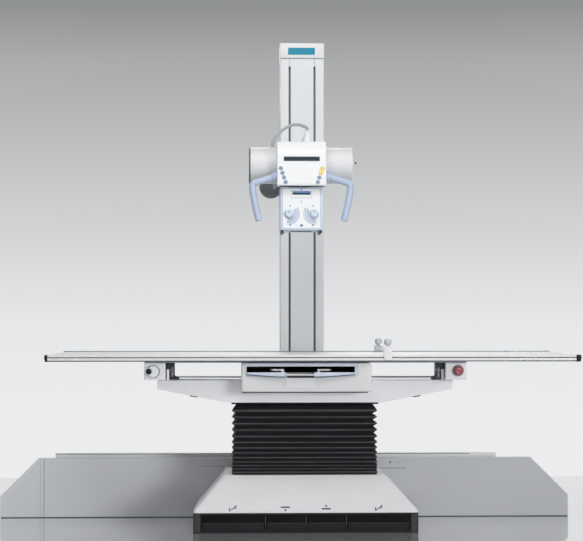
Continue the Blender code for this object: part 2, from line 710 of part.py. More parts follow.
def table_beam():
    """Winged beam on the bellows, with an end box and a carrier bracket on each wing."""
    half = BEAM_WIDTH / 2
    waist = BEAM_WAIST / 2
    front = -BEAM_DEPTH / 2

    end = BEAM_TOP - BEAM_END_HEIGHT
    outline = [
        (-waist, BEAM_BOTTOM),
        (waist, BEAM_BOTTOM),
        (half, end),
        (half, BEAM_TOP),
        (-half, BEAM_TOP),
        (-half, end),
    ]
    beam = add("table_beam", prism(outline, 1, front, -front), WHITE, lift, False)
    deck = BEAM_TOP - BEAM_WALL
    floor = BEAM_BOTTOM + BEAM_FLOOR
    open_low = BEAM_BOTTOM - 0.01
    floor_edge = waist + BEAM_FLOOR_OVERRUN
    reach = half - BEAM_WALL
    pocket = [
        (-reach, open_low),
        (-floor_edge, open_low),
        (-floor_edge, floor),
        (floor_edge, floor),
        (floor_edge, open_low),
        (reach, open_low),
        (reach, deck),
        (-reach, deck),
    ]
    combine(beam, prism(pocket, 1, front + BEAM_WALL, -front - BEAM_WALL))

    wide = BOX_WIDTH / 2
    for side, name in ((-1, "left"), (1, "right")):
        middle = side * BOX_SPACING / 2
        x = (middle - wide, middle + wide)
        shell = box(x, (BOX_FRONT, -BOX_FRONT), (BOX_BOTTOM, BOX_TOP), 0.004, 1)
        shell = add(f"end_box_{name}", shell, WHITE, lift)
        inner_x = (x[0] + BOX_WALL + 0.01, x[1] - BOX_WALL - 0.01)
        inner_y = (BOX_FRONT + BOX_WALL + STOP_STEM_LENGTH + 0.01, -BOX_FRONT - BOX_WALL)
        combine(shell, box(inner_x, inner_y, (BOX_BOTTOM - 0.01, BOX_TOP - BOX_WALL)))
        if side > 0:
            stop_centre = (middle + STOP_X, BOX_BOTTOM + STOP_Z)
            collar_face = BOX_FRONT - STOP_COLLAR_HEIGHT
            collar_foot = BOX_FRONT + BOX_WALL / 2
            collar = disc(STOP_COLLAR_RADIUS, collar_face, collar_foot, stop_centre, 1)
            combine(shell, collar, "UNION")
            hole = disc(
                STOP_STEM_RADIUS + SLIDE_FIT,
                BOX_FRONT - 0.01,
                BOX_FRONT + STOP_STEM_LENGTH + STOP_TRAVEL + SLIDE_FIT,
                stop_centre,
                1,
                16,
            )
            combine(shell, hole)
        carrier_outer = middle - side * (wide + BRACKET_GAP)
        carrier_inner = carrier_outer - side * CARRIER_WIDTH
        throat = carrier_outer - side * (CARRIER_WIDTH - CARRIER_THROAT)
        third = BOX_HEIGHT / 3
        outline = [
            (carrier_outer, BOX_BOTTOM),
            (carrier_inner, BOX_BOTTOM),
            (carrier_inner, BOX_BOTTOM + 0.6 * third),
            (throat, BOX_BOTTOM + third),
            (throat, BOX_BOTTOM + 2 * third),
            (carrier_inner, BOX_BOTTOM + 2.3 * third),
            (carrier_inner, BOX_TOP),
            (carrier_outer, BOX_TOP),
        ]
        block = prism(outline, 1, CARRIER_FRONT, CARRIER_FRONT + CARRIER_DEPTH)
        add(f"carrier_{name}", block, BLACK, lift, False)


def table_controls():
    """Red stop button on the right end box and the lock knob with its ball on the left one."""
    x = BOX_SPACING / 2 + STOP_X
    z = BOX_BOTTOM + STOP_Z
    face = BOX_FRONT - STOP_COLLAR_HEIGHT - SEAT - STOP_TRAVEL
    carrier = body("stop_button", (x, face, z), lift)
    profile = (
        (0.0, face - STOP_HEAD_HEIGHT),
        (0.6 * STOP_RADIUS, face - 0.93 * STOP_HEAD_HEIGHT),
        (0.9 * STOP_RADIUS, face - 0.7 * STOP_HEAD_HEIGHT),
        (STOP_RADIUS, face - 0.4 * STOP_HEAD_HEIGHT),
        (STOP_RADIUS, face),
        (STOP_STEM_RADIUS, face),
        (STOP_STEM_RADIUS, BOX_FRONT + STOP_STEM_LENGTH - STOP_TRAVEL),
        (0.0, BOX_FRONT + STOP_STEM_LENGTH - STOP_TRAVEL),
    )
    add("stop_button", turned(profile, (x, z), 1, 16), RED, carrier)

    x = -BOX_SPACING / 2 + LOCK_X
    z = BOX_BOTTOM + LOCK_Z
    back = BOX_FRONT - SEAT
    carrier = body("lock_knob", (x, back, z), lift)
    front = back - LOCK_THICKNESS
    profile = (
        (0.0, front),
        (LOCK_RADIUS - 0.003, front),
        (LOCK_RADIUS, front + 0.003),
        (LOCK_RADIUS, back),
        (0.0, back),
    )
    knob = add("lock_knob", turned(profile, (x, z), 1), WHITE, carrier)
    ball = (x - LOCK_BALL_OFFSET, z)
    profile = [(LOCK_BALL_RADIUS * sin(t), front - LOCK_BALL_RADIUS * (1 + cos(t)) * 0.8)
               for t in [radians(a) for a in range(30, 160, 30)]]
    profile = [(0.0, profile[0][1] - 0.001)] + profile
    profile += [(0.6 * LOCK_BALL_RADIUS, front + 0.004), (0.0, front + 0.004)]
    combine(knob, turned(profile, ball, 1, 12), "UNION")


def tray_unit():
    """Housing under the tabletop, the cassette tray in its slot and the two cassette clamps."""
    half = HOUSING_WIDTH / 2
    x = (HOUSING_X - half, HOUSING_X + half)
    low = BOX_BOTTOM - HOUSING_DROP
    top = BOX_BOTTOM + HOUSING_HEIGHT
    step_y = -BEAM_DEPTH / 2 - SEAT
    outline = arc((HOUSING_FRONT + HOUSING_ROUND, low + HOUSING_ROUND), HOUSING_ROUND, 270, 180, 3)
    outline += [
        (HOUSING_FRONT, top),
        (HOUSING_BACK, top),
        (HOUSING_BACK, BOX_BOTTOM),
        (step_y, BOX_BOTTOM),
        (step_y, low),
    ]
    housing = add("tray_housing", prism(outline, 0, x[0], x[1]), WHITE, lift, False)
    floor = BOX_BOTTOM + TRAY_SLOT_FLOOR
    roof = floor + TRAY_SLOT_HEIGHT
    slot_back = HOUSING_FRONT + TRAY_SLOT_DEPTH
    slot = box((TRAY_SLOT_LEFT, TRAY_SLOT_RIGHT), (HOUSING_FRONT - 0.01, slot_back), (floor, roof))
    combine(housing, slot)

    front = HOUSING_FRONT
    carrier = body("cassette_tray", (HOUSING_X, front, floor), lift)
    left = TRAY_SLOT_LEFT + SLIDE_FIT
    right = TRAY_SLOT_RIGHT - SLIDE_FIT
    middle = (left + right) / 2
    reach = (right - left) / 2
    bottom = floor + SEAT
    plate = box((left, right), (front, front + TRAY_LENGTH), (bottom, bottom + TRAY_THICKNESS))
    tray = add("cassette_tray", plate, PALE_BLUE, carrier, False)
    radius = (reach * reach + TRAY_FRONT_BOW * TRAY_FRONT_BOW) / (2 * TRAY_FRONT_BOW)
    steps = 10
    shares = [2 * n / steps - 1 for n in range(steps + 1)]
    bow = [(middle + reach * s, sqrt(radius * radius - (reach * s) ** 2) - radius) for s in shares]
    outside = [(a, front - TRAY_FRONT_THICKNESS - TRAY_FRONT_BOW - b) for a, b in bow]
    strip = outside + [(right, front + 0.004), (left, front + 0.004)]
    combine(tray, prism(strip, 2, bottom, bottom + TRAY_FRONT_HEIGHT), "UNION")
    grip_half = TRAY_HANDLE_WIDTH / 2
    grip_middle = middle - 0.0030
    grip_front = front - TRAY_FRONT_THICKNESS - TRAY_FRONT_BOW - TRAY_HANDLE_PROUD
    grip = box(
        (grip_middle - grip_half, grip_middle + grip_half),
        (grip_front, front - TRAY_FRONT_THICKNESS / 2),
        (bottom + 0.004, bottom + TRAY_FRONT_HEIGHT - 0.002),
        0.003,
        1,
    )
    combine(tray, grip, "UNION")

    rest = bottom + TRAY_THICKNESS + SEAT
    y0 = front + CASSETTE_CLAMP_SET_BACK
    y1 = y0 + CASSETTE_CLAMP_DEPTH
    for side, name in ((-1, "left"), (1, "right")):
        face = CASSETTE_CLAMP_X + side * CASSETTE_CLAMP_GAP / 2
        far = face + side * CASSETTE_CLAMP_LENGTH
        jaw = face + side * 0.016
        outline = [
            (face, rest),
            (far, rest),
            (far, rest + 0.55 * CASSETTE_CLAMP_HEIGHT),
            (jaw, rest + 0.65 * CASSETTE_CLAMP_HEIGHT),
            (jaw, rest + CASSETTE_CLAMP_HEIGHT),
            (face, rest + CASSETTE_CLAMP_HEIGHT),
        ]
        holder = body(f"cassette_clamp_{name}", (face, y0, rest), carrier)
        add(f"cassette_clamp_{name}", prism(outline, 1, y0, y1), WHITE, holder, False)


def tabletop():
    """Float frame that slides across, and the long tabletop with rails that slides along it."""
    float_body = body("float_frame", (0.0, 0.0, FLOAT_BOTTOM), lift)
    reach_x = BOX_SPACING / 2 + BOX_WIDTH / 2
    bar_x = BOX_WIDTH
    reach_y = BOX_DEPTH / 2
    frame = box((-reach_x, reach_x), (-reach_y, reach_y), (FLOAT_BOTTOM, FLOAT_TOP))
    frame = add("float_frame", frame, BLACK, float_body, False)
    window_x = reach_x - bar_x
    window_y = reach_y - FLOAT_BAR
    window_z = (FLOAT_BOTTOM - 0.01, FLOAT_TOP + 0.01)
    combine(frame, box((-window_x, window_x), (-window_y, window_y), window_z))

    top_body = body("tabletop", (0.0, 0.0, TABLE_BOTTOM), float_body)
    left = TABLE_LEFT + LEFT_CAP_LENGTH + SEAT
    right = TABLE_RIGHT - RIGHT_CAP_LENGTH - SEAT
    panel_front = TABLE_FRONT + EDGE_RAIL_DEPTH + SEAT
    panel_z = (TABLE_BOTTOM, TABLE_BOTTOM + PANEL_THICKNESS)
    panel = box((left, right), (panel_front, -panel_front), panel_z, 0.002, 0, 1)
    add("tabletop_panel", panel, LAMINATE, top_body, False)
    groove_low = TABLE_BOTTOM + EDGE_GROOVE_RISE
    for side, name in ((1, "front"), (-1, "rear")):
        outer = side * TABLE_FRONT
        inner = side * (TABLE_FRONT + EDGE_RAIL_DEPTH)
        deep = side * (TABLE_FRONT + EDGE_GROOVE_DEPTH)
        nose = side * (TABLE_FRONT + 0.003)
        outline = [
            (inner, TABLE_BOTTOM),
            (nose, TABLE_BOTTOM),
            (outer, TABLE_BOTTOM + 0.003),
            (outer, groove_low),
            (deep, groove_low),
            (deep, groove_low + EDGE_GROOVE),
            (outer, groove_low + EDGE_GROOVE),
            (outer, EDGE_TOP - 0.003),
            (nose, EDGE_TOP),
            (inner, EDGE_TOP),
        ]
        add(f"{name}_rail", prism(outline, 0, left, right), ALUMINIUM, top_body, False)
    low = TABLE_BOTTOM - CAP_SKIRT
    cap_y = (TABLE_FRONT - SEAT, -TABLE_FRONT + SEAT)
    for name, x in (("left", (TABLE_LEFT, left - SEAT)), ("right", (right + SEAT, TABLE_RIGHT))):
        cap = box(x, cap_y, (low, EDGE_TOP), 0.003, 1)
        add(f"end_cap_{name}", cap, BLACK, top_body, False)

    for side, name, middle in ((1, "front", FRONT_CLAMP_X), (-1, "rear", REAR_CLAMP_X)):
        rail_clamp(side, name, middle, top_body)


def rail_clamp(side, name, middle, top_body):
    """Clamp hooked over an edge rail, with a turning knob on top."""
    seat = EDGE_TOP + SEAT
    top = seat + RAIL_CLAMP_HEIGHT
    face = TABLE_FRONT - SEAT
    outer = side * (face - RAIL_CLAMP_FLANGE)
    inner = side * (TABLE_FRONT + EDGE_RAIL_DEPTH)
    down = EDGE_TOP - RAIL_CLAMP_HOOK
    outline = [
        (outer, down),
        (side * face, down),
        (side * face, seat),
        (inner, seat),
        (inner, seat + 0.6 * RAIL_CLAMP_HEIGHT),
        (side * (TABLE_FRONT + 0.5 * EDGE_RAIL_DEPTH), top),
        (outer + side * 0.003, top),
        (outer, top - 0.003),
    ]
    half = RAIL_CLAMP_WIDTH / 2
    carrier = body(f"rail_clamp_{name}", (middle, side * TABLE_FRONT, seat), top_body)
    add(f"rail_clamp_{name}", prism(outline, 0, middle - half, middle + half), CLAMP_GREY, carrier, False)
    centre = (middle, side * (TABLE_FRONT + 0.25 * EDGE_RAIL_DEPTH))
    knob_low = top + SEAT
    profile = (
        (0.0, knob_low),
        (0.45 * CLAMP_KNOB_RADIUS, knob_low),
        (0.45 * CLAMP_KNOB_RADIUS, knob_low + 0.12 * CLAMP_KNOB_HEIGHT),
        (0.85 * CLAMP_KNOB_RADIUS, knob_low + 0.25 * CLAMP_KNOB_HEIGHT),
        (CLAMP_KNOB_RADIUS, knob_low + 0.5 * CLAMP_KNOB_HEIGHT),
        (0.8 * CLAMP_KNOB_RADIUS, knob_low + 0.82 * CLAMP_KNOB_HEIGHT),
        (0.4 * CLAMP_KNOB_RADIUS, knob_low + 0.97 * CLAMP_KNOB_HEIGHT),
        (0.0, knob_low + CLAMP_KNOB_HEIGHT),
    )
    turning = body(f"clamp_knob_{name}", (*centre, knob_low), carrier)
    add(f"clamp_knob_{name}", turned(profile, centre, 2, 16), CLAMP_GREY, turning)


def column():
    """Trolley on the bed, slotted post and its cap."""
    carrier = body("column", (COLUMN_X, POST_MIDDLE, RAIL_BOTTOM), root)
    half = TROLLEY_WIDTH / 2
    y = (RAIL_BACK + SEAT, BED_BACK - TROLLEY_TAIL)
    shell = box((COLUMN_X - half, COLUMN_X + half), y, (RAIL_BOTTOM, TROLLEY_TOP), 0.006, 2)
    shell = add("column_trolley", shell, SILVER, carrier, False)
    inside = half - TROLLEY_WALL
    inside_y = (y[0] + TROLLEY_WALL, y[1] - TROLLEY_WALL)
    inside_z = (RAIL_BOTTOM - 0.01, TROLLEY_TOP - TROLLEY_WALL)
    combine(shell, box((COLUMN_X - inside, COLUMN_X + inside), inside_y, inside_z))

    half = COLUMN_WIDTH / 2
    x = (COLUMN_X - half, COLUMN_X + half)
    y = (COLUMN_FRONT, COLUMN_FRONT + COLUMN_DEPTH)
    outline = rounded_outline(x, y, COLUMN_ROUND, 2)
    post = add("column_post", prism(outline, 2, POST_BOTTOM, COLUMN_TOP), WHITE, carrier)
    front_wall = SLOT_DEPTH + COLUMN_WALL
    hollow_x = (x[0] + COLUMN_WALL, x[1] - COLUMN_WALL)
    hollow_y = (y[0] + front_wall, y[1] - COLUMN_WALL)
    combine(post, box(hollow_x, hollow_y, (POST_BOTTOM - 0.01, COLUMN_TOP + 0.01)))
    for side in (-1, 1):
        centre = COLUMN_X + side * SLOT_SPACING / 2
        slot = box(
            (centre - SLOT_WIDTH / 2, centre + SLOT_WIDTH / 2),
            (COLUMN_FRONT - 0.01, COLUMN_FRONT + SLOT_DEPTH),
            (POST_BOTTOM - 0.01, COLUMN_TOP - SLOT_END_GAP),
        )
        combine(post, slot)

    half = COLUMN_WIDTH / 2 + CAP_OVERHANG
    low = COLUMN_TOP + SEAT
    cap_x = (COLUMN_X - half, COLUMN_X + half)
    cap_y = (COLUMN_FRONT - CAP_OVERHANG, COLUMN_FRONT + COLUMN_DEPTH + CAP_OVERHANG)
    cap = add("column_cap", box(cap_x, cap_y, (low, low + CAP_HEIGHT), 0.005), WHITE, carrier)
    inside_x = (cap_x[0] + 3 * CAP_WALL, cap_x[1] - 3 * CAP_WALL)
    inside_y = (cap_y[0] + 3 * CAP_WALL, cap_y[1] - 3 * CAP_WALL)
    combine(cap, box(inside_x, inside_y, (low - 0.01, low + CAP_HEIGHT - CAP_WALL)))
    return carrier


def arm(column_body):
    """Carriage in the column's slots, the boom that it holds and the dark brake drum."""
    carrier = body("arm", (COLUMN_X, COLUMN_FRONT, HEAD_Z), column_body)
    half = CARRIAGE_WIDTH / 2
    back = COLUMN_FRONT - SEAT
    outline = [(COLUMN_X - half, CARRIAGE_FRONT + 0.01), (COLUMN_X - half, back)]
    for side in (-1, 1):
        centre = COLUMN_X + side * SLOT_SPACING / 2
        left = centre - RUNNER_WIDTH / 2
        right = centre + RUNNER_WIDTH / 2
        outline += [(left, back), (left, back + RUNNER_DEPTH), (right, back + RUNNER_DEPTH), (right, back)]
    outline += [(COLUMN_X + half, back), (COLUMN_X + half, CARRIAGE_FRONT + 0.01)]
    outline += [(COLUMN_X + half - 0.01, CARRIAGE_FRONT), (COLUMN_X - half + 0.01, CARRIAGE_FRONT)]
    low = HEAD_Z - CARRIAGE_HEIGHT / 2
    carriage = prism(outline, 2, low, low + CARRIAGE_HEIGHT)
    add("arm_carriage", carriage, WHITE, carrier, False)

    bore = SHAFT_RADIUS + SHAFT_FIT
    bore_end = BRACKET_BACK + SHAFT_LENGTH + SHAFT_FIT + SEAT
    profile = (
        (0.0, bore_end),
        (bore, bore_end),
        (bore, BOOM_FRONT),
        (BOOM_FRONT_FLANGE, BOOM_FRONT),
        (BOOM_FRONT_FLANGE, BOOM_FRONT + FLANGE_THICKNESS),
        (BOOM_RADIUS, BOOM_FRONT + 1.5 * FLANGE_THICKNESS),
        (BOOM_RADIUS, BOOM_BACK - 1.8 * FLANGE_THICKNESS),
        (BOOM_REAR_FLANGE, BOOM_BACK - FLANGE_THICKNESS),
        (BOOM_REAR_FLANGE, BOOM_BACK),
        (0.0, BOOM_BACK),
    )
    boom = add("arm_boom", turned(profile, HEAD_AXIS, 1), WHITE, carrier)
    ear_front = DRUM_FRONT + DRUM_THICKNESS + SEAT
    run = Vector((DRUM_X - HEAD_X, DRUM_Z - HEAD_Z)).normalized()
    across = Vector((-run.y, run.x))
    hub = Vector(HEAD_AXIS)
    tip = Vector((DRUM_X, DRUM_Z))
    wide = 0.9 * BOOM_RADIUS
    ear = [hub + across * wide, hub - across * wide]
    ear += [tip - across * DRUM_EAR_RADIUS, tip + run * DRUM_EAR_RADIUS, tip + across * DRUM_EAR_RADIUS]
    outline = [(p.x, p.y) for p in ear]
    combine(boom, prism(outline, 1, ear_front, ear_front + DRUM_EAR_THICKNESS), "UNION")

    back = DRUM_FRONT + DRUM_THICKNESS
    profile = (
        (0.0, DRUM_FRONT + 0.004),
        (0.55 * DRUM_RADIUS, DRUM_FRONT + 0.004),
        (0.62 * DRUM_RADIUS, DRUM_FRONT),
        (0.92 * DRUM_RADIUS, DRUM_FRONT),
        (DRUM_RADIUS, DRUM_FRONT + 0.006),
        (DRUM_RADIUS, back),
        (0.0, back),
    )
    add("brake_drum", turned(profile, (DRUM_X, DRUM_Z), 1), GREY, carrier)
    return carrier


def tube_head(arm_body):
    """Tube housing with its end caps, the bracket behind it and the cable over the top."""
    carrier = body("head", (HEAD_X, BOOM_FRONT, HEAD_Z), arm_body)
    axis = (0.0, HEAD_Z)
    half = TUBE_BODY_LENGTH / 2
    ends = (HEAD_X - half, HEAD_X + half)
    bore = TUBE_RADIUS - TUBE_WALL
    steps = 40
    shell = add("tube_housing", disc(TUBE_RADIUS, *ends, axis, 0, steps), WHITE, carrier)
    port = disc(PORT_RADIUS, PORT_BOTTOM, HEAD_Z - 0.5 * TUBE_RADIUS, (HEAD_X, 0.0), 2, 32)
    combine(shell, port, "UNION")
    start = CABLE_ROUTE[0]
    gland = disc(GLAND_RADIUS, HEAD_Z + 0.5 * TUBE_RADIUS, start[2] - SEAT, start[:2], 2, 16)
    combine(shell, gland, "UNION")
    combine(shell, disc(bore, ends[0] - 0.01, ends[1] + 0.01, axis, 0, steps))

    rim = TUBE_RADIUS - TUBE_CAP_ROUND
    for side, name in ((-1, "left"), (1, "right")):
        near = HEAD_X + side * (half + SEAT)
        far = near + side * TUBE_CAP_LENGTH
        turn = far - side * TUBE_CAP_ROUND
        profile = ((0.0, near), (TUBE_RADIUS, near), (TUBE_RADIUS, turn), (rim, far), (0.0, far))
        cap = add(f"tube_cap_{name}", turned(profile, axis, 0, steps), WHITE, carrier)
        if side > 0:
            stub_end = far + TUBE_STUB_LENGTH
            stub_axis = (0.0, HEAD_Z + TUBE_STUB_RISE)
            combine(cap, disc(TUBE_STUB_RADIUS, near + 0.004, stub_end, stub_axis, 0, 12), "UNION")

    wide = BRACKET_WIDTH / 2
    tall = BRACKET_HEIGHT / 2
    saddle = box(
        (HEAD_X - wide, HEAD_X + wide),
        (BRACKET_REACH, BRACKET_BACK),
        (HEAD_Z - tall, HEAD_Z + tall),
        0.010,
        1,
    )
    bracket = add("tube_bracket", saddle, WHITE, carrier)
    foot_half = BOOT_FOOT / 2
    foot = box(
        (BOOT_X - foot_half, BOOT_X + foot_half),
        (BRACKET_BACK - 0.022, BOOT_Y + foot_half),
        (HEAD_Z + BOOM_FRONT_FLANGE + 0.004, BOOT_BASE_Z),
        0.004,
        2,
    )
    riser = box(
        (BOOT_X - foot_half, BOOT_X + foot_half),
        (BRACKET_BACK - 0.022, BRACKET_BACK),
        (HEAD_Z + tall - 0.02, BOOT_BASE_Z - 0.002),
    )
    combine(bracket, riser, "UNION")
    combine(bracket, foot, "UNION")
    rise = BOOT_TIP_Z - BOOT_BASE_Z
    profile = (
        (0.0, BOOT_BASE_Z - 0.004),
        (0.8 * BOOT_BASE_RADIUS, BOOT_BASE_Z - 0.004),
        (BOOT_BASE_RADIUS, BOOT_BASE_Z + 0.02 * rise),
        (BOOT_BASE_RADIUS, BOOT_BASE_Z + 0.25 * rise),
        (0.45 * BOOT_BASE_RADIUS, BOOT_BASE_Z + 0.72 * rise),
        (BOOT_TIP_RADIUS, BOOT_BASE_Z + 0.86 * rise),
        (BOOT_TIP_RADIUS, BOOT_TIP_Z),
        (0.0, BOOT_TIP_Z),
    )
    combine(bracket, turned(profile, (BOOT_X, BOOT_Y), 2, 16), "UNION")
    shaft = disc(SHAFT_RADIUS, BRACKET_BACK - 0.004, BRACKET_BACK + SHAFT_LENGTH, HEAD_AXIS, 1)
    combine(bracket, shaft, "UNION")
    outside = TUBE_RADIUS + SEAT
    combine(bracket, disc(outside, ends[0] - 0.05, ends[1] + 0.05, axis, 0, steps))

    curve = bpy.data.curves.new("tube_cable", "CURVE")
    curve.dimensions = "3D"
    curve.bevel_depth = CABLE_RADIUS
    curve.bevel_resolution = 2
    curve.use_fill_caps = True
    curve.materials.append(CLAMP_GREY)
    spline = curve.splines.new("POLY")
    spline.points.add(len(CABLE_ROUTE) - 1)
    pivot = Vector(carrier["pivot"])
    for point, place in zip(spline.points, CABLE_ROUTE):
        point.co = (*(Vector(place) - pivot), 1.0)
    cable = bpy.data.objects.new("tube_cable", curve)
    bpy.context.collection.objects.link(cable)
    cable.parent = carrier
    return carrier


def key_places():
    """Centre of each key with its number: two columns that lean outwards towards the top."""
    places = []
    for side, start in ((-1, 1), (1, KEY_ROWS + 1)):
        for row in range(KEY_ROWS):
            z = KEY_BOTTOM_Z + KEY_PITCH * (KEY_ROWS - 1 - row)
            x = HEAD_X + side * (KEY_BOTTOM_X + KEY_LEAN * (z - KEY_BOTTOM_Z))
            places.append((start + row, x, z, side > 0 and row < 2))
    return places


def control_panel(head_body):
    """Panel shell that hugs the front of the tube, with round keys in blind holes."""
    half = PANEL_WIDTH / 2
    x = (HEAD_X - half, HEAD_X + half)
    crown = PANEL_TOP - PANEL_FACE_TOP
    outline = [
        (PANEL_FACE, PANEL_BOTTOM),
        (PANEL_REAR, PANEL_BOTTOM),
        (PANEL_REAR, PANEL_TOP),
        (PANEL_FACE + PANEL_SLOPE_DEPTH, PANEL_TOP),
        (PANEL_FACE + 0.35 * PANEL_SLOPE_DEPTH, PANEL_FACE_TOP + 0.55 * crown),
        (PANEL_FACE + 0.08 * PANEL_SLOPE_DEPTH, PANEL_FACE_TOP + 0.16 * crown),
        (PANEL_FACE, PANEL_FACE_TOP),
    ]
    shape = prism(outline, 0, *x)
    ends = [e for e in shape.edges if abs(e.verts[0].co.x - e.verts[1].co.x) < 1e-6]
    ends = [e for e in ends if min(e.verts[0].co.y, e.verts[1].co.y) < PANEL_REAR - 1e-4]
    bmesh.ops.bevel(shape, geom=ends, offset=PANEL_ROUND, segments=2, profile=0.5, affect="EDGES")
    panel = add("control_panel", shape, WHITE, head_body)
    inside = half - PANEL_SHELL - PANEL_ROUND
    cavity = box(
        (HEAD_X - inside, HEAD_X + inside),
        (PANEL_FACE + PANEL_SHELL, PANEL_REAR + 0.01),
        (PANEL_BOTTOM + PANEL_SHELL, PANEL_FACE_TOP - PANEL_SHELL),
    )
    combine(panel, cavity)
    outside = TUBE_RADIUS + SEAT
    combine(panel, disc(outside, x[0] - 0.05, x[1] + 0.05, (0.0, HEAD_Z), 0, 40))

    floor = PANEL_FACE + KEY_DEPTH + KEY_TRAVEL + SLIDE_FIT
    for number, key_x, key_z, warm in key_places():
        centre = (key_x, key_z)
        combine(panel, disc(KEY_RADIUS + KEY_FIT, PANEL_FACE - 0.01, floor, centre, 1, KEY_STEPS))
        front = PANEL_FACE - KEY_PROUD
        profile = (
            (0.0, front),
            (KEY_RADIUS - 0.0015, front),
            (KEY_RADIUS, front + 0.0015),
            (KEY_RADIUS, PANEL_FACE + KEY_DEPTH),
            (0.0, PANEL_FACE + KEY_DEPTH),
        )
        carrier = body(f"key_{number}", (key_x, PANEL_FACE, key_z), head_body)
        look = YELLOW if warm else KEY_GREY
        add(f"key_{number}", turned(profile, centre, 1, KEY_STEPS), look, carrier)


def handles(head_body):
    """Pair of bent blue grips on collars at the sides of the control panel."""
    for side, name in ((-1, "left"), (1, "right")):
        start = PANEL_WIDTH / 2 + SEAT
        collar = start + HANDLE_COLLAR_LENGTH
        slope = Vector((HANDLE_END_X - HANDLE_ELBOW_X, HANDLE_END_Z - HANDLE_ELBOW_Z))
        elbow = Vector((HANDLE_ELBOW_X, HANDLE_ELBOW_Z + HANDLE_ELBOW_ROUND))
        leave = Vector((collar + 0.012, HANDLE_Z - 0.002))
        points = [Vector((start, HANDLE_Z)), Vector((collar, HANDLE_Z)), Vector((collar + 0.0001, HANDLE_Z))]
        before = leave + (elbow - leave) * 0.70
        after = elbow + slope * 0.26
        bend = 6
        for n in range(bend + 1):
            t = n / bend
            points.append(before * (1 - t) ** 2 + elbow * 2 * t * (1 - t) + after * t * t)
        points.insert(3, leave)
        foot = Vector((HANDLE_END_X, HANDLE_END_Z))
        points += [after + (foot - after) * 0.5, foot + Vector((0.0005, 0.008)), foot]
        radii = [HANDLE_COLLAR_RADIUS, HANDLE_COLLAR_RADIUS] + [HANDLE_RADIUS] * (len(points) - 3)
        radii += [HANDLE_RADIUS - 0.006]
        path = [(HEAD_X + side * p.x, HANDLE_Y, p.y) for p in points]
        add(f"handle_{name}", swept(path, radii, HANDLE_STEPS), BLUE, head_body)


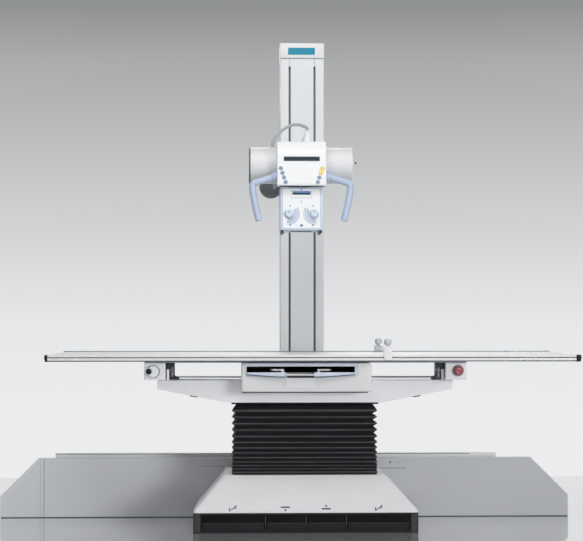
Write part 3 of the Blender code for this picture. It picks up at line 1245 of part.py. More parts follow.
def collimator(head_body):
    """Collimator box that swivels under the tube port, with two knobs and a lamp button."""
    carrier = body("collimator", (HEAD_X, 0.0, COLLIMATOR_TOP), head_body)
    half = COLLIMATOR_WIDTH / 2
    deep = COLLIMATOR_DEPTH / 2
    block = box(
        (HEAD_X - half, HEAD_X + half),
        (-deep, deep),
        (COLLIMATOR_BOTTOM, COLLIMATOR_TOP),
        COLLIMATOR_ROUND,
    )
    case = add("collimator_box", block, WHITE, carrier)
    inner_x = half - COLLIMATOR_WALL
    inner_y = deep - COLLIMATOR_WALL
    cavity_z = (COLLIMATOR_BOTTOM + COLLIMATOR_WALL, COLLIMATOR_TOP - COLLIMATOR_WALL)
    combine(case, box((HEAD_X - inner_x, HEAD_X + inner_x), (-inner_y, inner_y), cavity_z))
    mouth = APERTURE / 2
    mouth_z = (COLLIMATOR_BOTTOM - 0.01, COLLIMATOR_BOTTOM + COLLIMATOR_WALL + 0.01)
    combine(case, box((HEAD_X - mouth, HEAD_X + mouth), (-mouth, mouth), mouth_z))
    window_z = COLLIMATOR_TOP - WINDOW_DROP
    window = box(
        (HEAD_X - WINDOW_WIDTH / 2, HEAD_X + WINDOW_WIDTH / 2),
        (COLLIMATOR_FRONT - 0.01, COLLIMATOR_FRONT + WINDOW_DEPTH),
        (window_z - WINDOW_HEIGHT, window_z),
    )
    combine(case, window)
    for side in (-1, 1):
        outer = half - ACCESSORY_RAIL_INSET
        low = COLLIMATOR_BOTTOM - ACCESSORY_RAIL_HEIGHT
        thin = ACCESSORY_RAIL_WIDTH - ACCESSORY_LIP
        outline = [
            (HEAD_X + side * outer, COLLIMATOR_BOTTOM + 0.003),
            (HEAD_X + side * outer, low),
            (HEAD_X + side * (outer - ACCESSORY_RAIL_WIDTH), low),
            (HEAD_X + side * (outer - ACCESSORY_RAIL_WIDTH), low + 0.003),
            (HEAD_X + side * (outer - thin), low + 0.003),
            (HEAD_X + side * (outer - thin), COLLIMATOR_BOTTOM + 0.003),
        ]
        reach = deep - COLLIMATOR_ROUND - 0.004
        combine(case, prism(outline, 1, -reach, reach), "UNION")

    z = COLLIMATOR_TOP - KNOB_DROP
    seat = COLLIMATOR_FRONT - SEAT
    for side, name in ((-1, "left"), (1, "right")):
        centre = (HEAD_X + side * KNOB_OFFSET, z)
        hole_end = COLLIMATOR_FRONT + SPINDLE_LENGTH + SLIDE_FIT
        combine(case, disc(SPINDLE_RADIUS + SHAFT_FIT, COLLIMATOR_FRONT - 0.01, hole_end, centre, 1, 12))
        front = seat - KNOB_HEIGHT
        profile = (
            (0.0, front),
            (0.62 * KNOB_RADIUS, front),
            (0.70 * KNOB_RADIUS, front + 0.002),
            (0.74 * KNOB_RADIUS, seat - KNOB_SKIRT),
            (KNOB_RADIUS, seat - KNOB_SKIRT + 0.002),
            (KNOB_RADIUS, seat),
            (SPINDLE_RADIUS, seat),
            (SPINDLE_RADIUS, COLLIMATOR_FRONT + SPINDLE_LENGTH),
            (0.0, COLLIMATOR_FRONT + SPINDLE_LENGTH),
        )
        turning = body(f"collimator_knob_{name}", (centre[0], seat, z), carrier)
        add(f"collimator_knob_{name}", turned(profile, centre, 1, 24), PALE_BLUE, turning)

    centre = (HEAD_X, COLLIMATOR_TOP - LAMP_DROP)
    lamp_floor = COLLIMATOR_FRONT + KEY_DEPTH + LAMP_TRAVEL + SLIDE_FIT
    combine(case, disc(LAMP_RADIUS + KEY_FIT, COLLIMATOR_FRONT - 0.01, lamp_floor, centre, 1, 12))
    button = body("lamp_button", (centre[0], COLLIMATOR_FRONT, centre[1]), carrier)
    front = COLLIMATOR_FRONT - KEY_PROUD
    profile = (
        (0.0, front),
        (LAMP_RADIUS - 0.001, front),
        (LAMP_RADIUS, front + 0.001),
        (LAMP_RADIUS, COLLIMATOR_FRONT + KEY_DEPTH),
        (0.0, COLLIMATOR_FRONT + KEY_DEPTH),
    )
    add("lamp_button", turned(profile, centre, 1, 12), BLUE, button)


pedestal()
telescope()
floor_housing()
table_beam()
table_controls()
tray_unit()
tabletop()
column_carrier = column()
arm_carrier = arm(column_carrier)
head_carrier = tube_head(arm_carrier)
control_panel(head_carrier)
handles(head_carrier)
collimator(head_carrier)
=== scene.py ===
"""X-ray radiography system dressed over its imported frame.

A patient table stands on a bellows lift pedestal. Behind it a tube column runs on a floor
rail and carries an arm, a tilting tube housing with its control panel, and a collimator.
Lengths are metres. +X runs to the right along the table, +Y away from its front, +Z up.
"""

import bmesh
import bpy
import numpy as np
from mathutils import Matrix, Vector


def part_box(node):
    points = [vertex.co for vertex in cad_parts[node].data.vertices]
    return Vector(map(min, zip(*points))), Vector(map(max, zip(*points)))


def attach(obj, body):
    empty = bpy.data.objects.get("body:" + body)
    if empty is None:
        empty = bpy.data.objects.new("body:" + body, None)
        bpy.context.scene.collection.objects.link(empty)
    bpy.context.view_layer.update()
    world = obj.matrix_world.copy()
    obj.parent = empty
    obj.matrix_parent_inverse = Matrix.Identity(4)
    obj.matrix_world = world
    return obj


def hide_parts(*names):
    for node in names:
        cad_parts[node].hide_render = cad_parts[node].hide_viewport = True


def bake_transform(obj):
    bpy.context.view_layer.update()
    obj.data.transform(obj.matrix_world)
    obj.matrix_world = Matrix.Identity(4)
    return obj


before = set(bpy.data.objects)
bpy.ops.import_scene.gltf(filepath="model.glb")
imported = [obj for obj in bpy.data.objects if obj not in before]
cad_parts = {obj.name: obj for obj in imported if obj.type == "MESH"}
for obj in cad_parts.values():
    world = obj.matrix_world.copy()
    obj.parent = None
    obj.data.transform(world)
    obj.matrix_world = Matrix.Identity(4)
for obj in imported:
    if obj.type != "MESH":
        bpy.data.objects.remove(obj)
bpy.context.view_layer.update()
PI = np.pi
X, Y, Z = 0, 1, 2
SIDES = ((-1, "left"), (1, "right"))
RAILS = ((1, "front"), (-1, "rear"))

# ---- shapes ----


def to_space(a, b, height, axis):
    """Two outline coordinates and a height along an axis, put in X, Y, Z order."""
    a, b, height = np.broadcast_arrays(a, b, height)
    order = {X: (height, a, b), Y: (a, height, b), Z: (a, b, height)}
    return np.stack(order[axis], -1).astype(float)


def middle_of(node, *axes):
    """Middle of a node's box along the axes named."""
    low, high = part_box(node)
    return tuple((low[axis] + high[axis]) / 2 for axis in axes)


def facing_out(points, faces):
    """Turns every face round if the volume they enclose, summed as fans about the origin, is negative."""
    volume = 0.0
    for size in {len(face) for face in faces}:
        rows = points[np.array([face for face in faces if len(face) == size])]
        turning = np.cross(rows[:, 1:-1], rows[:, 2:])
        volume += np.einsum("fki,fki->", np.broadcast_to(rows[:, :1], turning.shape), turning)
    return [face[::-1] for face in faces] if volume < 0 else faces


def skin(rings, loop=False):
    """Quads between neighbouring rows of a grid that wraps round; flat caps, or rows that close a loop."""
    rows, count = rings.shape[:2]
    index = np.arange(rows * count).reshape(rows, count)
    near = index if loop else index[:-1]
    far = np.roll(index, -1, 0) if loop else index[1:]
    quads = np.stack([near, np.roll(near, -1, 1), np.roll(far, -1, 1), far], -1)
    faces = quads.reshape(-1, 4).tolist()
    if not loop:
        faces += [index[0][::-1].tolist(), index[-1].tolist()]
    points = rings.reshape(-1, 3)
    return points, facing_out(points, faces)


def stacked(rows, heights, axis=Z, loop=False):
    """Skin over outlines, one a row, each at its height along an axis."""
    return skin(to_space(rows[..., 0], rows[..., 1], np.asarray(heights)[:, None], axis), loop)


def together(*shapes):
    """Several closed shapes as one mesh: the face numbers of each are shifted past those before it."""
    points, faces, shift = [], [], 0
    for shape_points, shape_faces in shapes:
        points.append(shape_points)
        faces += [[n + shift for n in face] for face in shape_faces]
        shift += len(shape_points)
    return np.concatenate(points), faces


def corner_rows(a_low, a_high, b_low, b_high, radius, count=6):
    """Rounded rectangles, one a row: each corner centre plus its radius times a quarter circle."""
    sizes = [np.atleast_1d(np.asarray(size, float)) for size in (a_low, a_high, b_low, b_high, radius)]
    a_low, a_high, b_low, b_high, radius = [size[:, None] for size in np.broadcast_arrays(*sizes)]
    turn = (np.linspace(0.0, PI / 2, count + 1) + np.arange(4)[:, None] * PI / 2).ravel()
    right = np.repeat([True, False, False, True], count + 1)
    upper = np.repeat([True, True, False, False], count + 1)
    a = np.where(right, a_high - radius, a_low + radius) + radius * np.cos(turn)
    b = np.where(upper, b_high - radius, b_low + radius) + radius * np.sin(turn)
    return np.stack([a, b], -1)


def rounded_rectangle(a, b, radius, count=6):
    """One rounded rectangle as an outline."""
    return corner_rows(a[0], a[1], b[0], b[1], radius, count)[0]


def bowed(start, corner, end, share):
    """Quadratic curve between two points, pulled towards a corner."""
    return start * (1 - share) ** 2 + corner * 2 * share * (1 - share) + end * share ** 2


def filleted(corners, radii, count=4, closed=True):
    """Each corner swapped for a quadratic curve between points one radius away along both sides."""
    corners = np.array(corners, float)
    radii = np.broadcast_to(np.array(radii, float), len(corners))[:, None]
    before = np.roll(corners, 1, 0) - corners
    after = np.roll(corners, -1, 0) - corners
    before /= np.linalg.norm(before, axis=1, keepdims=True)
    after /= np.linalg.norm(after, axis=1, keepdims=True)
    share = np.linspace(0.0, 1.0, count + 1)[None, :, None]
    start = (corners + before * radii)[:, None]
    end = (corners + after * radii)[:, None]
    curve = bowed(start, corners[:, None], end, share)
    if closed:
        return curve.reshape(-1, 2)
    return np.concatenate([corners[:1], curve[1:-1].reshape(-1, 2), corners[-1:]])


def drawn_in(outline, amount):
    """Outline moved inwards along the sum of each point's two side normals, so that walls stay parallel."""
    ahead = np.roll(outline, -1, 0) - outline
    ahead /= np.maximum(np.linalg.norm(ahead, axis=1, keepdims=True), 1e-9)
    normal = np.stack([-ahead[:, 1], ahead[:, 0]], -1)
    both = normal + np.roll(normal, 1, 0)
    return outline + both * 2.0 / np.maximum((both ** 2).sum(1, keepdims=True), 0.35) * amount


def extruded(outline, axis, low, high, edge=0.0, count=3):
    """Outline carried along an axis; near both ends it draws in along a quarter circle of radius edge."""
    outline = np.array(outline, float)
    ahead = np.roll(outline, -1, 0)
    if (outline[:, 0] * ahead[:, 1] - outline[:, 1] * ahead[:, 0]).sum() < 0:
        outline = outline[::-1]
    turn = np.linspace(0.0, PI / 2, count + 1 if edge else 1)
    inset = edge * (1 - np.sin(turn))
    height = edge * (1 - np.cos(turn))
    insets = np.concatenate([inset, inset[::-1]])
    heights = np.concatenate([low + height, high - height[::-1]])
    return stacked(np.stack([drawn_in(outline, amount) for amount in insets]), heights, axis)


def block(low, high, corner, edge, axis=Z, count=5):
    """Rounded rectangle carried along an axis, with both ends rounded over."""
    first, second = [n for n in (X, Y, Z) if n != axis]
    corner = max(corner, edge * 1.05)
    outline = rounded_rectangle((low[first], high[first]), (low[second], high[second]), corner, count)
    return extruded(outline, axis, low[axis], high[axis], edge)


def turned(profile, centre, axis, count=64):
    """Profile of radius and height pairs spun about an axis; each end is closed flat."""
    profile = np.array(profile, float)
    turn = np.linspace(0.0, 2 * PI, count, endpoint=False)
    a = centre[0] + profile[:, :1] * np.cos(turn)
    b = centre[1] + profile[:, :1] * np.sin(turn)
    return skin(to_space(a, b, profile[:, 1:], axis))


def rod(core, radius, low, high):
    """Profile of a plain rod: out from the core at one end, along, and back in at the other."""
    return [(core, low), (radius, low), (radius, high), (core, high)]


def bar(radius, low, high, centre, axis, edge=0.0008, count=40, core=None):
    """Round bar whose two ends are rounded over by a small edge; its flat ends start at the core."""
    profile = rod(radius * 0.3 if core is None else core, radius, low, high)
    return turned(filleted(profile, edge, 3, False), centre, axis, count)


def dip_in(points, first, second, centre, count, depth, where):
    """Radius about a centre cut back by a share of itself, so many times round, at the points chosen."""
    spread = points[:, (first, second)] - centre
    wave = 0.5 - 0.5 * np.cos(count * np.arctan2(spread[:, 1], spread[:, 0]))
    points[:, (first, second)] = centre + spread * (1 - depth * wave * where)[:, None]


def swept(path, radii, count=32):
    """Circles across a path: their plane is set by Y made square to the path's direction."""
    path = np.array(path, float)
    run = np.gradient(path, axis=0)
    run /= np.linalg.norm(run, axis=1, keepdims=True)
    side = np.array([0.0, 1.0, 0.0]) - run * run[:, 1:2]
    side /= np.linalg.norm(side, axis=1, keepdims=True)
    lift = np.cross(run, side)
    turn = np.linspace(0.0, 2 * PI, count, endpoint=False)
    across = side[:, None] * np.cos(turn)[None, :, None] + lift[:, None] * np.sin(turn)[None, :, None]
    return skin(path[:, None] + np.array(radii)[:, None, None] * across)


def sign(outline, place, across=(1, 0, 0), up=(0, 0, 1), thickness=0.0003):
    """Thin plate: an outline in its own two directions, carried out from the surface it lies on."""
    outline = np.array(outline, float)
    across = np.array(across, float)
    up = np.array(up, float)
    base = np.array(place, float) + outline[:, :1] * across + outline[:, 1:] * up
    return skin(np.stack([base, base + np.cross(across, up) * thickness]))


def ring_band(inner, outer, start, end, count=18):
    """Outline of a stretch of a flat ring: the outer arc forwards, then the inner arc back."""
    turn = np.radians(np.linspace(start, end, count))
    arc = np.stack([np.cos(turn), np.sin(turn)], -1)
    return np.concatenate([arc * outer, arc[::-1] * inner])


def round_sign(radius, count=20):
    """Outline of a circle."""
    turn = np.linspace(0.0, 2 * PI, count, endpoint=False)
    return np.stack([radius * np.cos(turn), radius * np.sin(turn)], -1)


def stroke(start, end, width):
    """Outline of a straight line: its two ends moved half a width to both sides."""
    start, end = np.array(start, float), np.array(end, float)
    run = (end - start) / np.linalg.norm(end - start)
    side = np.array([-run[1], run[0]]) * width / 2
    return np.stack([start - side, end - side, end + side, start + side])


def arrow_head(tip, direction, size):
    """Outline of a triangle with its point at the tip."""
    tip, run = np.array(tip, float), np.array(direction, float)
    run /= np.linalg.norm(run)
    side = np.array([-run[1], run[0]])
    return np.stack([tip, tip - run * size + side * size * 0.55, tip - run * size - side * size * 0.55])


def meshed(name, shape, look):
    """Mesh of a shape with its finish."""
    points, faces = shape
    mesh = bpy.data.meshes.new(name)
    mesh.from_pydata(points.tolist(), [], faces)
    mesh.materials.append(look)
    return mesh


def smoothed(mesh, angle=32.0):
    """Mesh made smooth but for the edges sharper than an angle in degrees."""
    mesh.shade_smooth()
    mesh.set_sharp_from_angle(angle=np.radians(angle))
    return mesh


def piece(name, shape, look, body, *nodes, slot=None, angle=32.0):
    """A finished mesh on its body, standing for the nodes named."""
    return place_piece(name, smoothed(meshed(name, shape, look), angle), body, nodes)


def stuck_on(name, outlines, place, look, body, thickness=0.0003, up=(0, 0, 1)):
    """Signs at one place as a piece."""
    signs = [sign(outline, place, up=up, thickness=thickness) for outline in outlines]
    return piece(name, together(*signs), look, body)


def place_piece(name, mesh, body, nodes):
    """Object for a mesh, riding on its body."""
    made = bpy.data.objects.new(name, mesh)
    bpy.context.scene.collection.objects.link(made)
    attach(made, body)
    if nodes:
        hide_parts(*nodes)
    return made


def cut(made, shape, look=None):
    """The shape is taken out of a piece; the cut walls may have a finish of their own."""
    tool = bpy.data.objects.new("cut", meshed("cut", shape, look or made.data.materials[0]))
    bpy.context.scene.collection.objects.link(tool)
    step = made.modifiers.new("cut", "BOOLEAN")
    step.operation = "DIFFERENCE"
    step.solver = "EXACT"
    step.object = tool
    step.material_mode = "TRANSFER"
    ready = made.evaluated_get(bpy.context.evaluated_depsgraph_get())
    result = bpy.data.meshes.new_from_object(ready)
    made.modifiers.clear()
    made.data = smoothed(result)
    bpy.data.objects.remove(tool)


def break_edges(made, width):
    """Narrow rounded chamfer on every edge sharper than forty degrees."""
    broken = made.modifiers.new("edges", "BEVEL")
    broken.width = width
    broken.segments = 2
    broken.limit_method = "ANGLE"
    broken.angle_limit = np.radians(40.0)


def carried_over(node, name, look, body, edge=0.001):
    """A solid whose shape is right: a merged copy, smooth where it curves, with its edges broken."""
    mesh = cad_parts[node].data.copy()
    work = bmesh.new()
    work.from_mesh(mesh)
    bmesh.ops.remove_doubles(work, verts=work.verts, dist=0.00001)
    work.to_mesh(mesh)
    work.free()
    mesh.materials.clear()
    mesh.materials.append(look)
    made = place_piece(name, smoothed(mesh), body, (node,))
    if edge:
        break_edges(made, edge)


# ---- finishes ----


def linear(red, green, blue):
    """Screen colour from 0 to 255 as the linear values a shader takes."""
    value = np.array([red, green, blue]) / 255.0
    return tuple(np.where(value <= 0.04045, value / 12.92, ((value + 0.055) / 1.055) ** 2.4))


# scale of a wave texture that makes one band to the metre
WAVE_SCALE = 0.314


class Finish:
    """Node material built from object coordinates."""

    def __init__(self, name, colour, rough, metal=0.0, **fixed):
        """New material with its colour, roughness and metal, and other sockets fixed by name."""
        self.material = bpy.data.materials.new(name)
        self.material.use_nodes = True
        self.tree = self.material.node_tree
        self.shader = self.tree.nodes["Principled BSDF"]
        self.colour = (*linear(*colour), 1.0)
        self.rough = rough
        self.shader.inputs["Base Color"].default_value = self.colour
        self.shader.inputs["Roughness"].default_value = rough
        self.shader.inputs["Metallic"].default_value = metal
        for socket, value in fixed.items():
            self.shader.inputs[socket.replace("_", " ")].default_value = value
        self.coordinates = self.add("ShaderNodeTexCoord").outputs["Object"]
        self.normal = None
        self.material.diffuse_color = self.colour

    def put(self, socket, value):
        """A socket is joined to another, or set."""
        if isinstance(value, bpy.types.NodeSocket):
            self.tree.links.new(value, socket)
        else:
            socket.default_value = value

    def add(self, kind, **values):
        """New node with its sockets joined or set by name."""
        made = self.tree.nodes.new(kind)
        for key, value in values.items():
            self.put(made.inputs[key.replace("_", " ")], value)
        return made

    def math(self, operation, first, second=0.0):
        """One sum of two values."""
        made = self.tree.nodes.new("ShaderNodeMath")
        made.operation = operation
        self.put(made.inputs[0], first)
        self.put(made.inputs[1], second)
        return made.outputs[0]

    def noise(self, scale, detail=3.0):
        """Noise of so many grains to the metre along X, Y and Z."""
        scale = tuple(np.broadcast_to(np.array(scale, float), 3))
        placed = self.add("ShaderNodeMapping", Vector=self.coordinates, Scale=scale)
        return self.add("ShaderNodeTexNoise", Vector=placed.outputs[0], Scale=1.0, Detail=detail).outputs[0]

    def between(self, value, low, high, start=0.3, end=0.7):
        """A value from start to end made to run from low to high."""
        limits = {"From_Min": start, "From_Max": end, "To_Min": low, "To_Max": high}
        return self.add("ShaderNodeMapRange", Value=value, **limits).outputs[0]

    def tint(self, factor, colour):
        """Colour mixed in by a factor over what the surface has so far."""
        mixed = self.tree.nodes.new("ShaderNodeMix")
        mixed.data_type = "RGBA"
        self.put(mixed.inputs[0], factor)
        self.put(mixed.inputs[6], self.colour)
        mixed.inputs[7].default_value = (*colour, 1.0)
        self.colour = mixed.outputs[2]
        self.put(self.shader.inputs["Base Color"], self.colour)
        return self

    def drift(self, amount, scale):
        """Slow change of tone, as paint and dust give."""
        base = np.array(self.material.diffuse_color[:3])
        worn = tuple(np.clip(base * (1 - amount), 0.0, 1.0))
        return self.tint(self.between(self.noise(scale, 2.0), 0.0, 1.0), worn)

    def gloss(self, amount, scale):
        """Roughness that wanders about its mean."""
        self.put(self.shader.inputs["Roughness"],
                 self.between(self.noise(scale), self.rough - amount, self.rough + amount))
        return self

    def relief(self, height, depth):
        """Bump of a depth in metres, laid over any bump that is there."""
        made = self.add("ShaderNodeBump", Height=height, Distance=depth)
        if self.normal:
            self.put(made.inputs["Normal"], self.normal)
        self.normal = made.outputs[0]
        self.put(self.shader.inputs["Normal"], self.normal)
        return self

    def waves(self, count, direction):
        """Bands, so many to the metre, across a direction."""
        made = self.add("ShaderNodeTexWave", Vector=self.coordinates, Scale=count * WAVE_SCALE)
        made.bands_direction = direction
        return made.outputs["Fac"]


def enamel(name, colour, rough=0.38, depth=0.00002):
    """Sprayed paint: fine orange peel, slight drift of tone and gloss."""
    made = Finish(name, colour, rough)
    made.drift(0.03, 2.5).gloss(0.05, 9.0)
    return made.relief(made.noise(420.0, 2.0), depth).material


def moulded(name, colour, rough=0.45, depth=0.00002, drift=0.05, grain=900.0, metal=0.0, **fixed):
    """Moulded or cast surface: close pebble grain."""
    made = Finish(name, colour, rough, metal, **fixed)
    made.drift(drift, 6.0).gloss(0.06, 30.0)
    return made.relief(made.noise(grain, 3.0), depth).material


def brushed(name, colour, rough, along, metal):
    """Drawn metal: hair lines that run along one axis."""
    scale = np.full(3, 600.0)
    scale[along] = 5.0
    made = Finish(name, colour, rough, metal)
    made.drift(0.06, scale * 0.2).gloss(0.06, scale)
    return made.relief(made.noise(scale, 2.0), 0.000006).material


def cloth(name, colour):
    """Coated bellows cloth: crossed threads under a soft coat, paler where dust lies."""
    made = Finish(name, colour, 0.55, Sheen_Weight=0.06, Sheen_Roughness=0.5, Specular_IOR_Level=0.3)
    made.drift(-0.5, (7.0, 7.0, 60.0)).gloss(0.08, 40.0)
    threads = made.math("ADD", made.waves(700.0, "X"), made.waves(700.0, "Z"))
    return made.relief(threads, 0.00003).relief(made.noise(140.0), 0.0002).material


def display(name):
    """Dark window with rows of faint lit segments: two crossed sets of bands multiplied together."""
    made = Finish(name, (28, 46, 54), 0.14)
    segments = made.math("MULTIPLY", made.waves(130.0, "X"), made.waves(120.0, "Z"))
    made.tint(made.between(segments, 0.0, 0.5, 0.45, 0.9), linear(92, 126, 130)).gloss(0.03, 30.0)
    return made.relief(made.noise(60.0), 0.00001).material


def mirror(name, colour):
    """Polished sheet: near mirror, with faint drift of tone and gloss and long shallow waves."""
    made = Finish(name, colour, 0.06, 0.95)
    made.drift(0.03, 3.0).gloss(0.02, 8.0)
    return made.relief(made.noise(12.0, 1.0), 0.000002).material


WHITE = enamel("white_enamel", (240, 240, 242))
HOUSING_WHITE = enamel("housing_enamel", (219, 219, 220))
# lighter white for the patch on the tray housing painted as a reflection
REFLECTION_WHITE = enamel("painted_reflection_enamel", (232, 232, 234))
TUBE_WHITE = enamel("tube_enamel", (228, 228, 229), 0.42)
CAP_WHITE = enamel("cap_enamel", (236, 236, 237))
PANEL_WHITE = moulded("panel_white", (248, 249, 250), 0.42, 0.00001, 0.015)
COVER_WHITE = moulded("cover_white", (226, 226, 228), 0.5, 0.00003, 0.03, 500.0)
COLUMN_GREY = enamel("column_enamel", (235, 236, 238), 0.42)
BEAM_GREY = enamel("beam_enamel", (239, 239, 241), 0.42)
SILVER = enamel("silver_enamel", (208, 210, 213), 0.42, 0.00003)
ALUMINIUM = enamel("drawn_aluminium", (232, 230, 230), 0.40, 0.000004)
DECK = mirror("polished_deck", (236, 238, 240))
STEEL = brushed("zinc_steel", (150, 152, 156), 0.38, Z, 0.8)
ROLLER = brushed("roller_steel", (104, 106, 110), 0.30, Z, 0.7)
BLACK = moulded("black_rubber", (22, 23, 27), 0.60, 0.00004, 0.2, Specular_IOR_Level=0.25)
FOOT_RUBBER = moulded("foot_rubber", (11, 11, 14), 0.62, 0.00004, 0.2, Specular_IOR_Level=0.10)
KICK_GREY = moulded("kick_grey", (40, 39, 41), 0.60, 0.00004, 0.1)
STUD = moulded("stud_rubber", (44, 41, 46), 0.55, 0.00003, 0.2)
DIVIDER = moulded("divider_grey", (88, 83, 86), 0.60, 0.00002, 0.1)
DARK_STEEL = moulded("blackened_steel", (44, 50, 56), 0.42, 0.00003, 0.25, metal=0.3)
# grey for real seams, reveals and dots, and also for painted shade: lip undersides, knob shadows, left tube cap,
# panel foot
SEAM_AND_SHADE = moulded("seam_and_shade_grey", (84, 104, 118), 0.6, 0.00002, 0.1)
# dark grey for joints and the stub tip, and also for painted shade: rail grooves and feet, the strip under the
# tray housing
SEAM_AND_SHADE_DARK = moulded("seam_and_shade_dark", (48, 64, 76), 0.6, 0.00002, 0.1)
SEAM_PALE = moulded("seam_pale", (140, 146, 152), 0.6, 0.00002, 0.05)
SLOT_LIP = moulded("slot_lip", (150, 168, 178), 0.6, 0.00002, 0.08)
FOLDS = cloth("bellows_cloth", (29, 30, 35))
# paler cloth painted as highlight on the pleat crests
CREST_HIGHLIGHT = cloth("bellows_crest_highlight", (86, 78, 80))
HANDLE = moulded("handle_blue", (189, 203, 226), 0.40, 0.00002, 0.04)
HANDLE_SEAM = moulded("handle_seam", (140, 168, 208), 0.45, 0.00002, 0.04)
PALE_BLUE = enamel("pale_blue_trim", (214, 229, 243), 0.40)
TRAY_BLUE = enamel("tray_blue", (204, 213, 228), 0.36)
KEY_GREY = moulded("key_grey", (156, 172, 196), 0.45)
YELLOW = moulded("key_yellow", (250, 226, 150), 0.42)
RED = moulded("stop_red", (154, 74, 80), 0.42)
RED_PALE = moulded("stop_arrow", (226, 160, 164), 0.42)
GREY = moulded("drum_grey", (142, 142, 145), 0.6, 0.00010, 0.25, 400.0)
CLAMP_GREY = moulded("clamp_grey", (206, 211, 215), 0.42)
RING_GREY = moulded("ring_grey", (168, 174, 180), 0.42)
STOP_GREY = moulded("collar_grey", (138, 142, 148), 0.42)
CABLE = moulded("cable_grey", (174, 181, 187), 0.5, 0.00004)
LAMINATE = moulded("table_laminate", (226, 228, 230), 0.34, 0.00001, 0.02)
PRINT = moulded("printed_grey", (52, 74, 88), 0.6, 0.00001)
PRINT_BLUE = moulded("printed_blue", (104, 144, 202), 0.6, 0.00001)
LAMP_BLUE = moulded("lamp_blue", (84, 134, 160), 0.4, 0.00001)
TEAL = enamel("teal_plate", (4, 142, 172), 0.35)
GLASS = display("display_glass")
# dark grey painted as shade inside recesses: the tray slot, the grip's recess and web, the collimator's opening
RECESS_SHADE = moulded("painted_recess_shade", (44, 46, 50), 0.8, 0.00004)


# ---- camera, light and floor ----

# name, place, aim, width, height, power in watts, spread in degrees
LAMPS = (
    ("side_lamp", (5.4, -8.0, 1.7), (-1.3, 0.2, 0.5), 3.0, 2.2, 40.0, 60.0),
    ("high_lamp", (-0.6, -2.7, 4.9), (0.0, 0.0, 1.2), 3.4, 2.4, 106.0, 180.0),
    ("mid_lamp", (-1.6, -5.4, 3.9), (0.0, 0.0, 1.2), 3.4, 2.4, 34.0, 180.0),
    ("back_lamp", (0.6, 3.8, 3.4), (0.0, 0.0, 1.2), 3.0, 2.0, 70.0, 180.0),
)
# the ground's greys from 0 to 255, each at its share of the rise of the view
GROUND_STOPS = ((0.0, 237), (0.24, 235), (0.366, 230), (0.458, 217), (0.55, 203), (0.67, 184), (0.76, 170),
                (0.835, 146), (1.0, 122))
GROUND_RISE = (-0.15, 0.25)
MIRRORED_GROUND = (233, 234, 235)
SOFT_LIGHT = 0.12
FLOOR_X, FLOOR_Y, FLOOR_LEVEL = (-8.0, 8.0), (-9.0, 2.15), -0.0006
FOCUS_PIXELS, FRAME_PIXELS = 1629.0, 583.0
EYE, EYE_RISE, EYE_TURN = (-0.2743, -7.68, 0.98), 1.53, 1.635


def camera():
    """Camera at the photograph's angle: the lens is the sensor's width times focal length over frame in pixels."""
    lens = bpy.data.cameras.new("camera")
    lens.sensor_fit = "HORIZONTAL"
    lens.sensor_width = 36.0
    lens.lens = lens.sensor_width * FOCUS_PIXELS / FRAME_PIXELS
    lens.clip_end = 200.0
    eye = bpy.data.objects.new("camera", lens)
    eye.location = EYE
    eye.rotation_euler = (PI / 2 + np.radians(EYE_RISE), 0.0, -np.radians(EYE_TURN))
    bpy.context.scene.collection.objects.link(eye)
    bpy.context.scene.camera = eye
    bpy.context.scene.view_settings.view_transform = "Standard"


def lamps():
    """Soft lamps, each turned towards its aim."""
    for name, place, aim, width, height, power, spread in LAMPS:
        lamp = bpy.data.lights.new(name, "AREA")
        lamp.shape = "RECTANGLE"
        lamp.size = width
        lamp.size_y = height
        lamp.energy = power
        lamp.spread = np.radians(spread)
        stand = bpy.data.objects.new(name, lamp)
        run = np.array(aim) - np.array(place)
        stand.location = place
        stand.rotation_euler = (np.arctan2(np.hypot(run[0], run[1]), -run[2]), 0.0,
                                np.arctan2(run[1], run[0]) - PI / 2)
        bpy.context.scene.collection.objects.link(stand)


def surroundings():
    """World: soft white as light, pale in mirrors, and to the camera a ground from grey down to white."""
    world = bpy.data.worlds.new("studio")
    bpy.context.scene.world = world
    world.use_nodes = True
    nodes, link = world.node_tree.nodes, world.node_tree.links.new
    nodes.clear()

    def plain(colour, strength=1.0):
        """Background of one colour."""
        made = nodes.new("ShaderNodeBackground")
        made.inputs["Color"].default_value = (*colour, 1.0)
        made.inputs["Strength"].default_value = strength
        return made.outputs[0]

    def mixed(factor, first, second):
        """The first background, or the second where the factor is one."""
        made = nodes.new("ShaderNodeMixShader")
        for socket, source in zip(made.inputs, (factor, first, second)):
            link(source, socket)
        return made.outputs[0]

    path = nodes.new("ShaderNodeLightPath").outputs
    either = nodes.new("ShaderNodeMath")
    either.operation = "MAXIMUM"
    link(path["Is Glossy Ray"], either.inputs[0])
    link(path["Is Transmission Ray"], either.inputs[1])
    parts = nodes.new("ShaderNodeSeparateXYZ")
    link(nodes.new("ShaderNodeTexCoord").outputs["Generated"], parts.inputs[0])
    rise = nodes.new("ShaderNodeMapRange")
    rise.inputs["From Min"].default_value, rise.inputs["From Max"].default_value = GROUND_RISE
    link(parts.outputs["Z"], rise.inputs["Value"])
    ramp = nodes.new("ShaderNodeValToRGB")
    link(rise.outputs[0], ramp.inputs[0])
    for number, (place, level) in enumerate(GROUND_STOPS):
        stop = ramp.color_ramp.elements[number] if number < 2 else ramp.color_ramp.elements.new(place)
        stop.position = place
        stop.color = (*linear(level, level + 1, level + 2), 1.0)
    ground = nodes.new("ShaderNodeBackground")
    link(ramp.outputs[0], ground.inputs["Color"])
    unseen = mixed(either.outputs[0], plain((1.0, 1.0, 1.0), SOFT_LIGHT), plain(linear(*MIRRORED_GROUND)))
    shown = mixed(path["Is Camera Ray"], unseen, ground.outputs[0])
    link(shown, nodes.new("ShaderNodeOutputWorld").inputs[0])


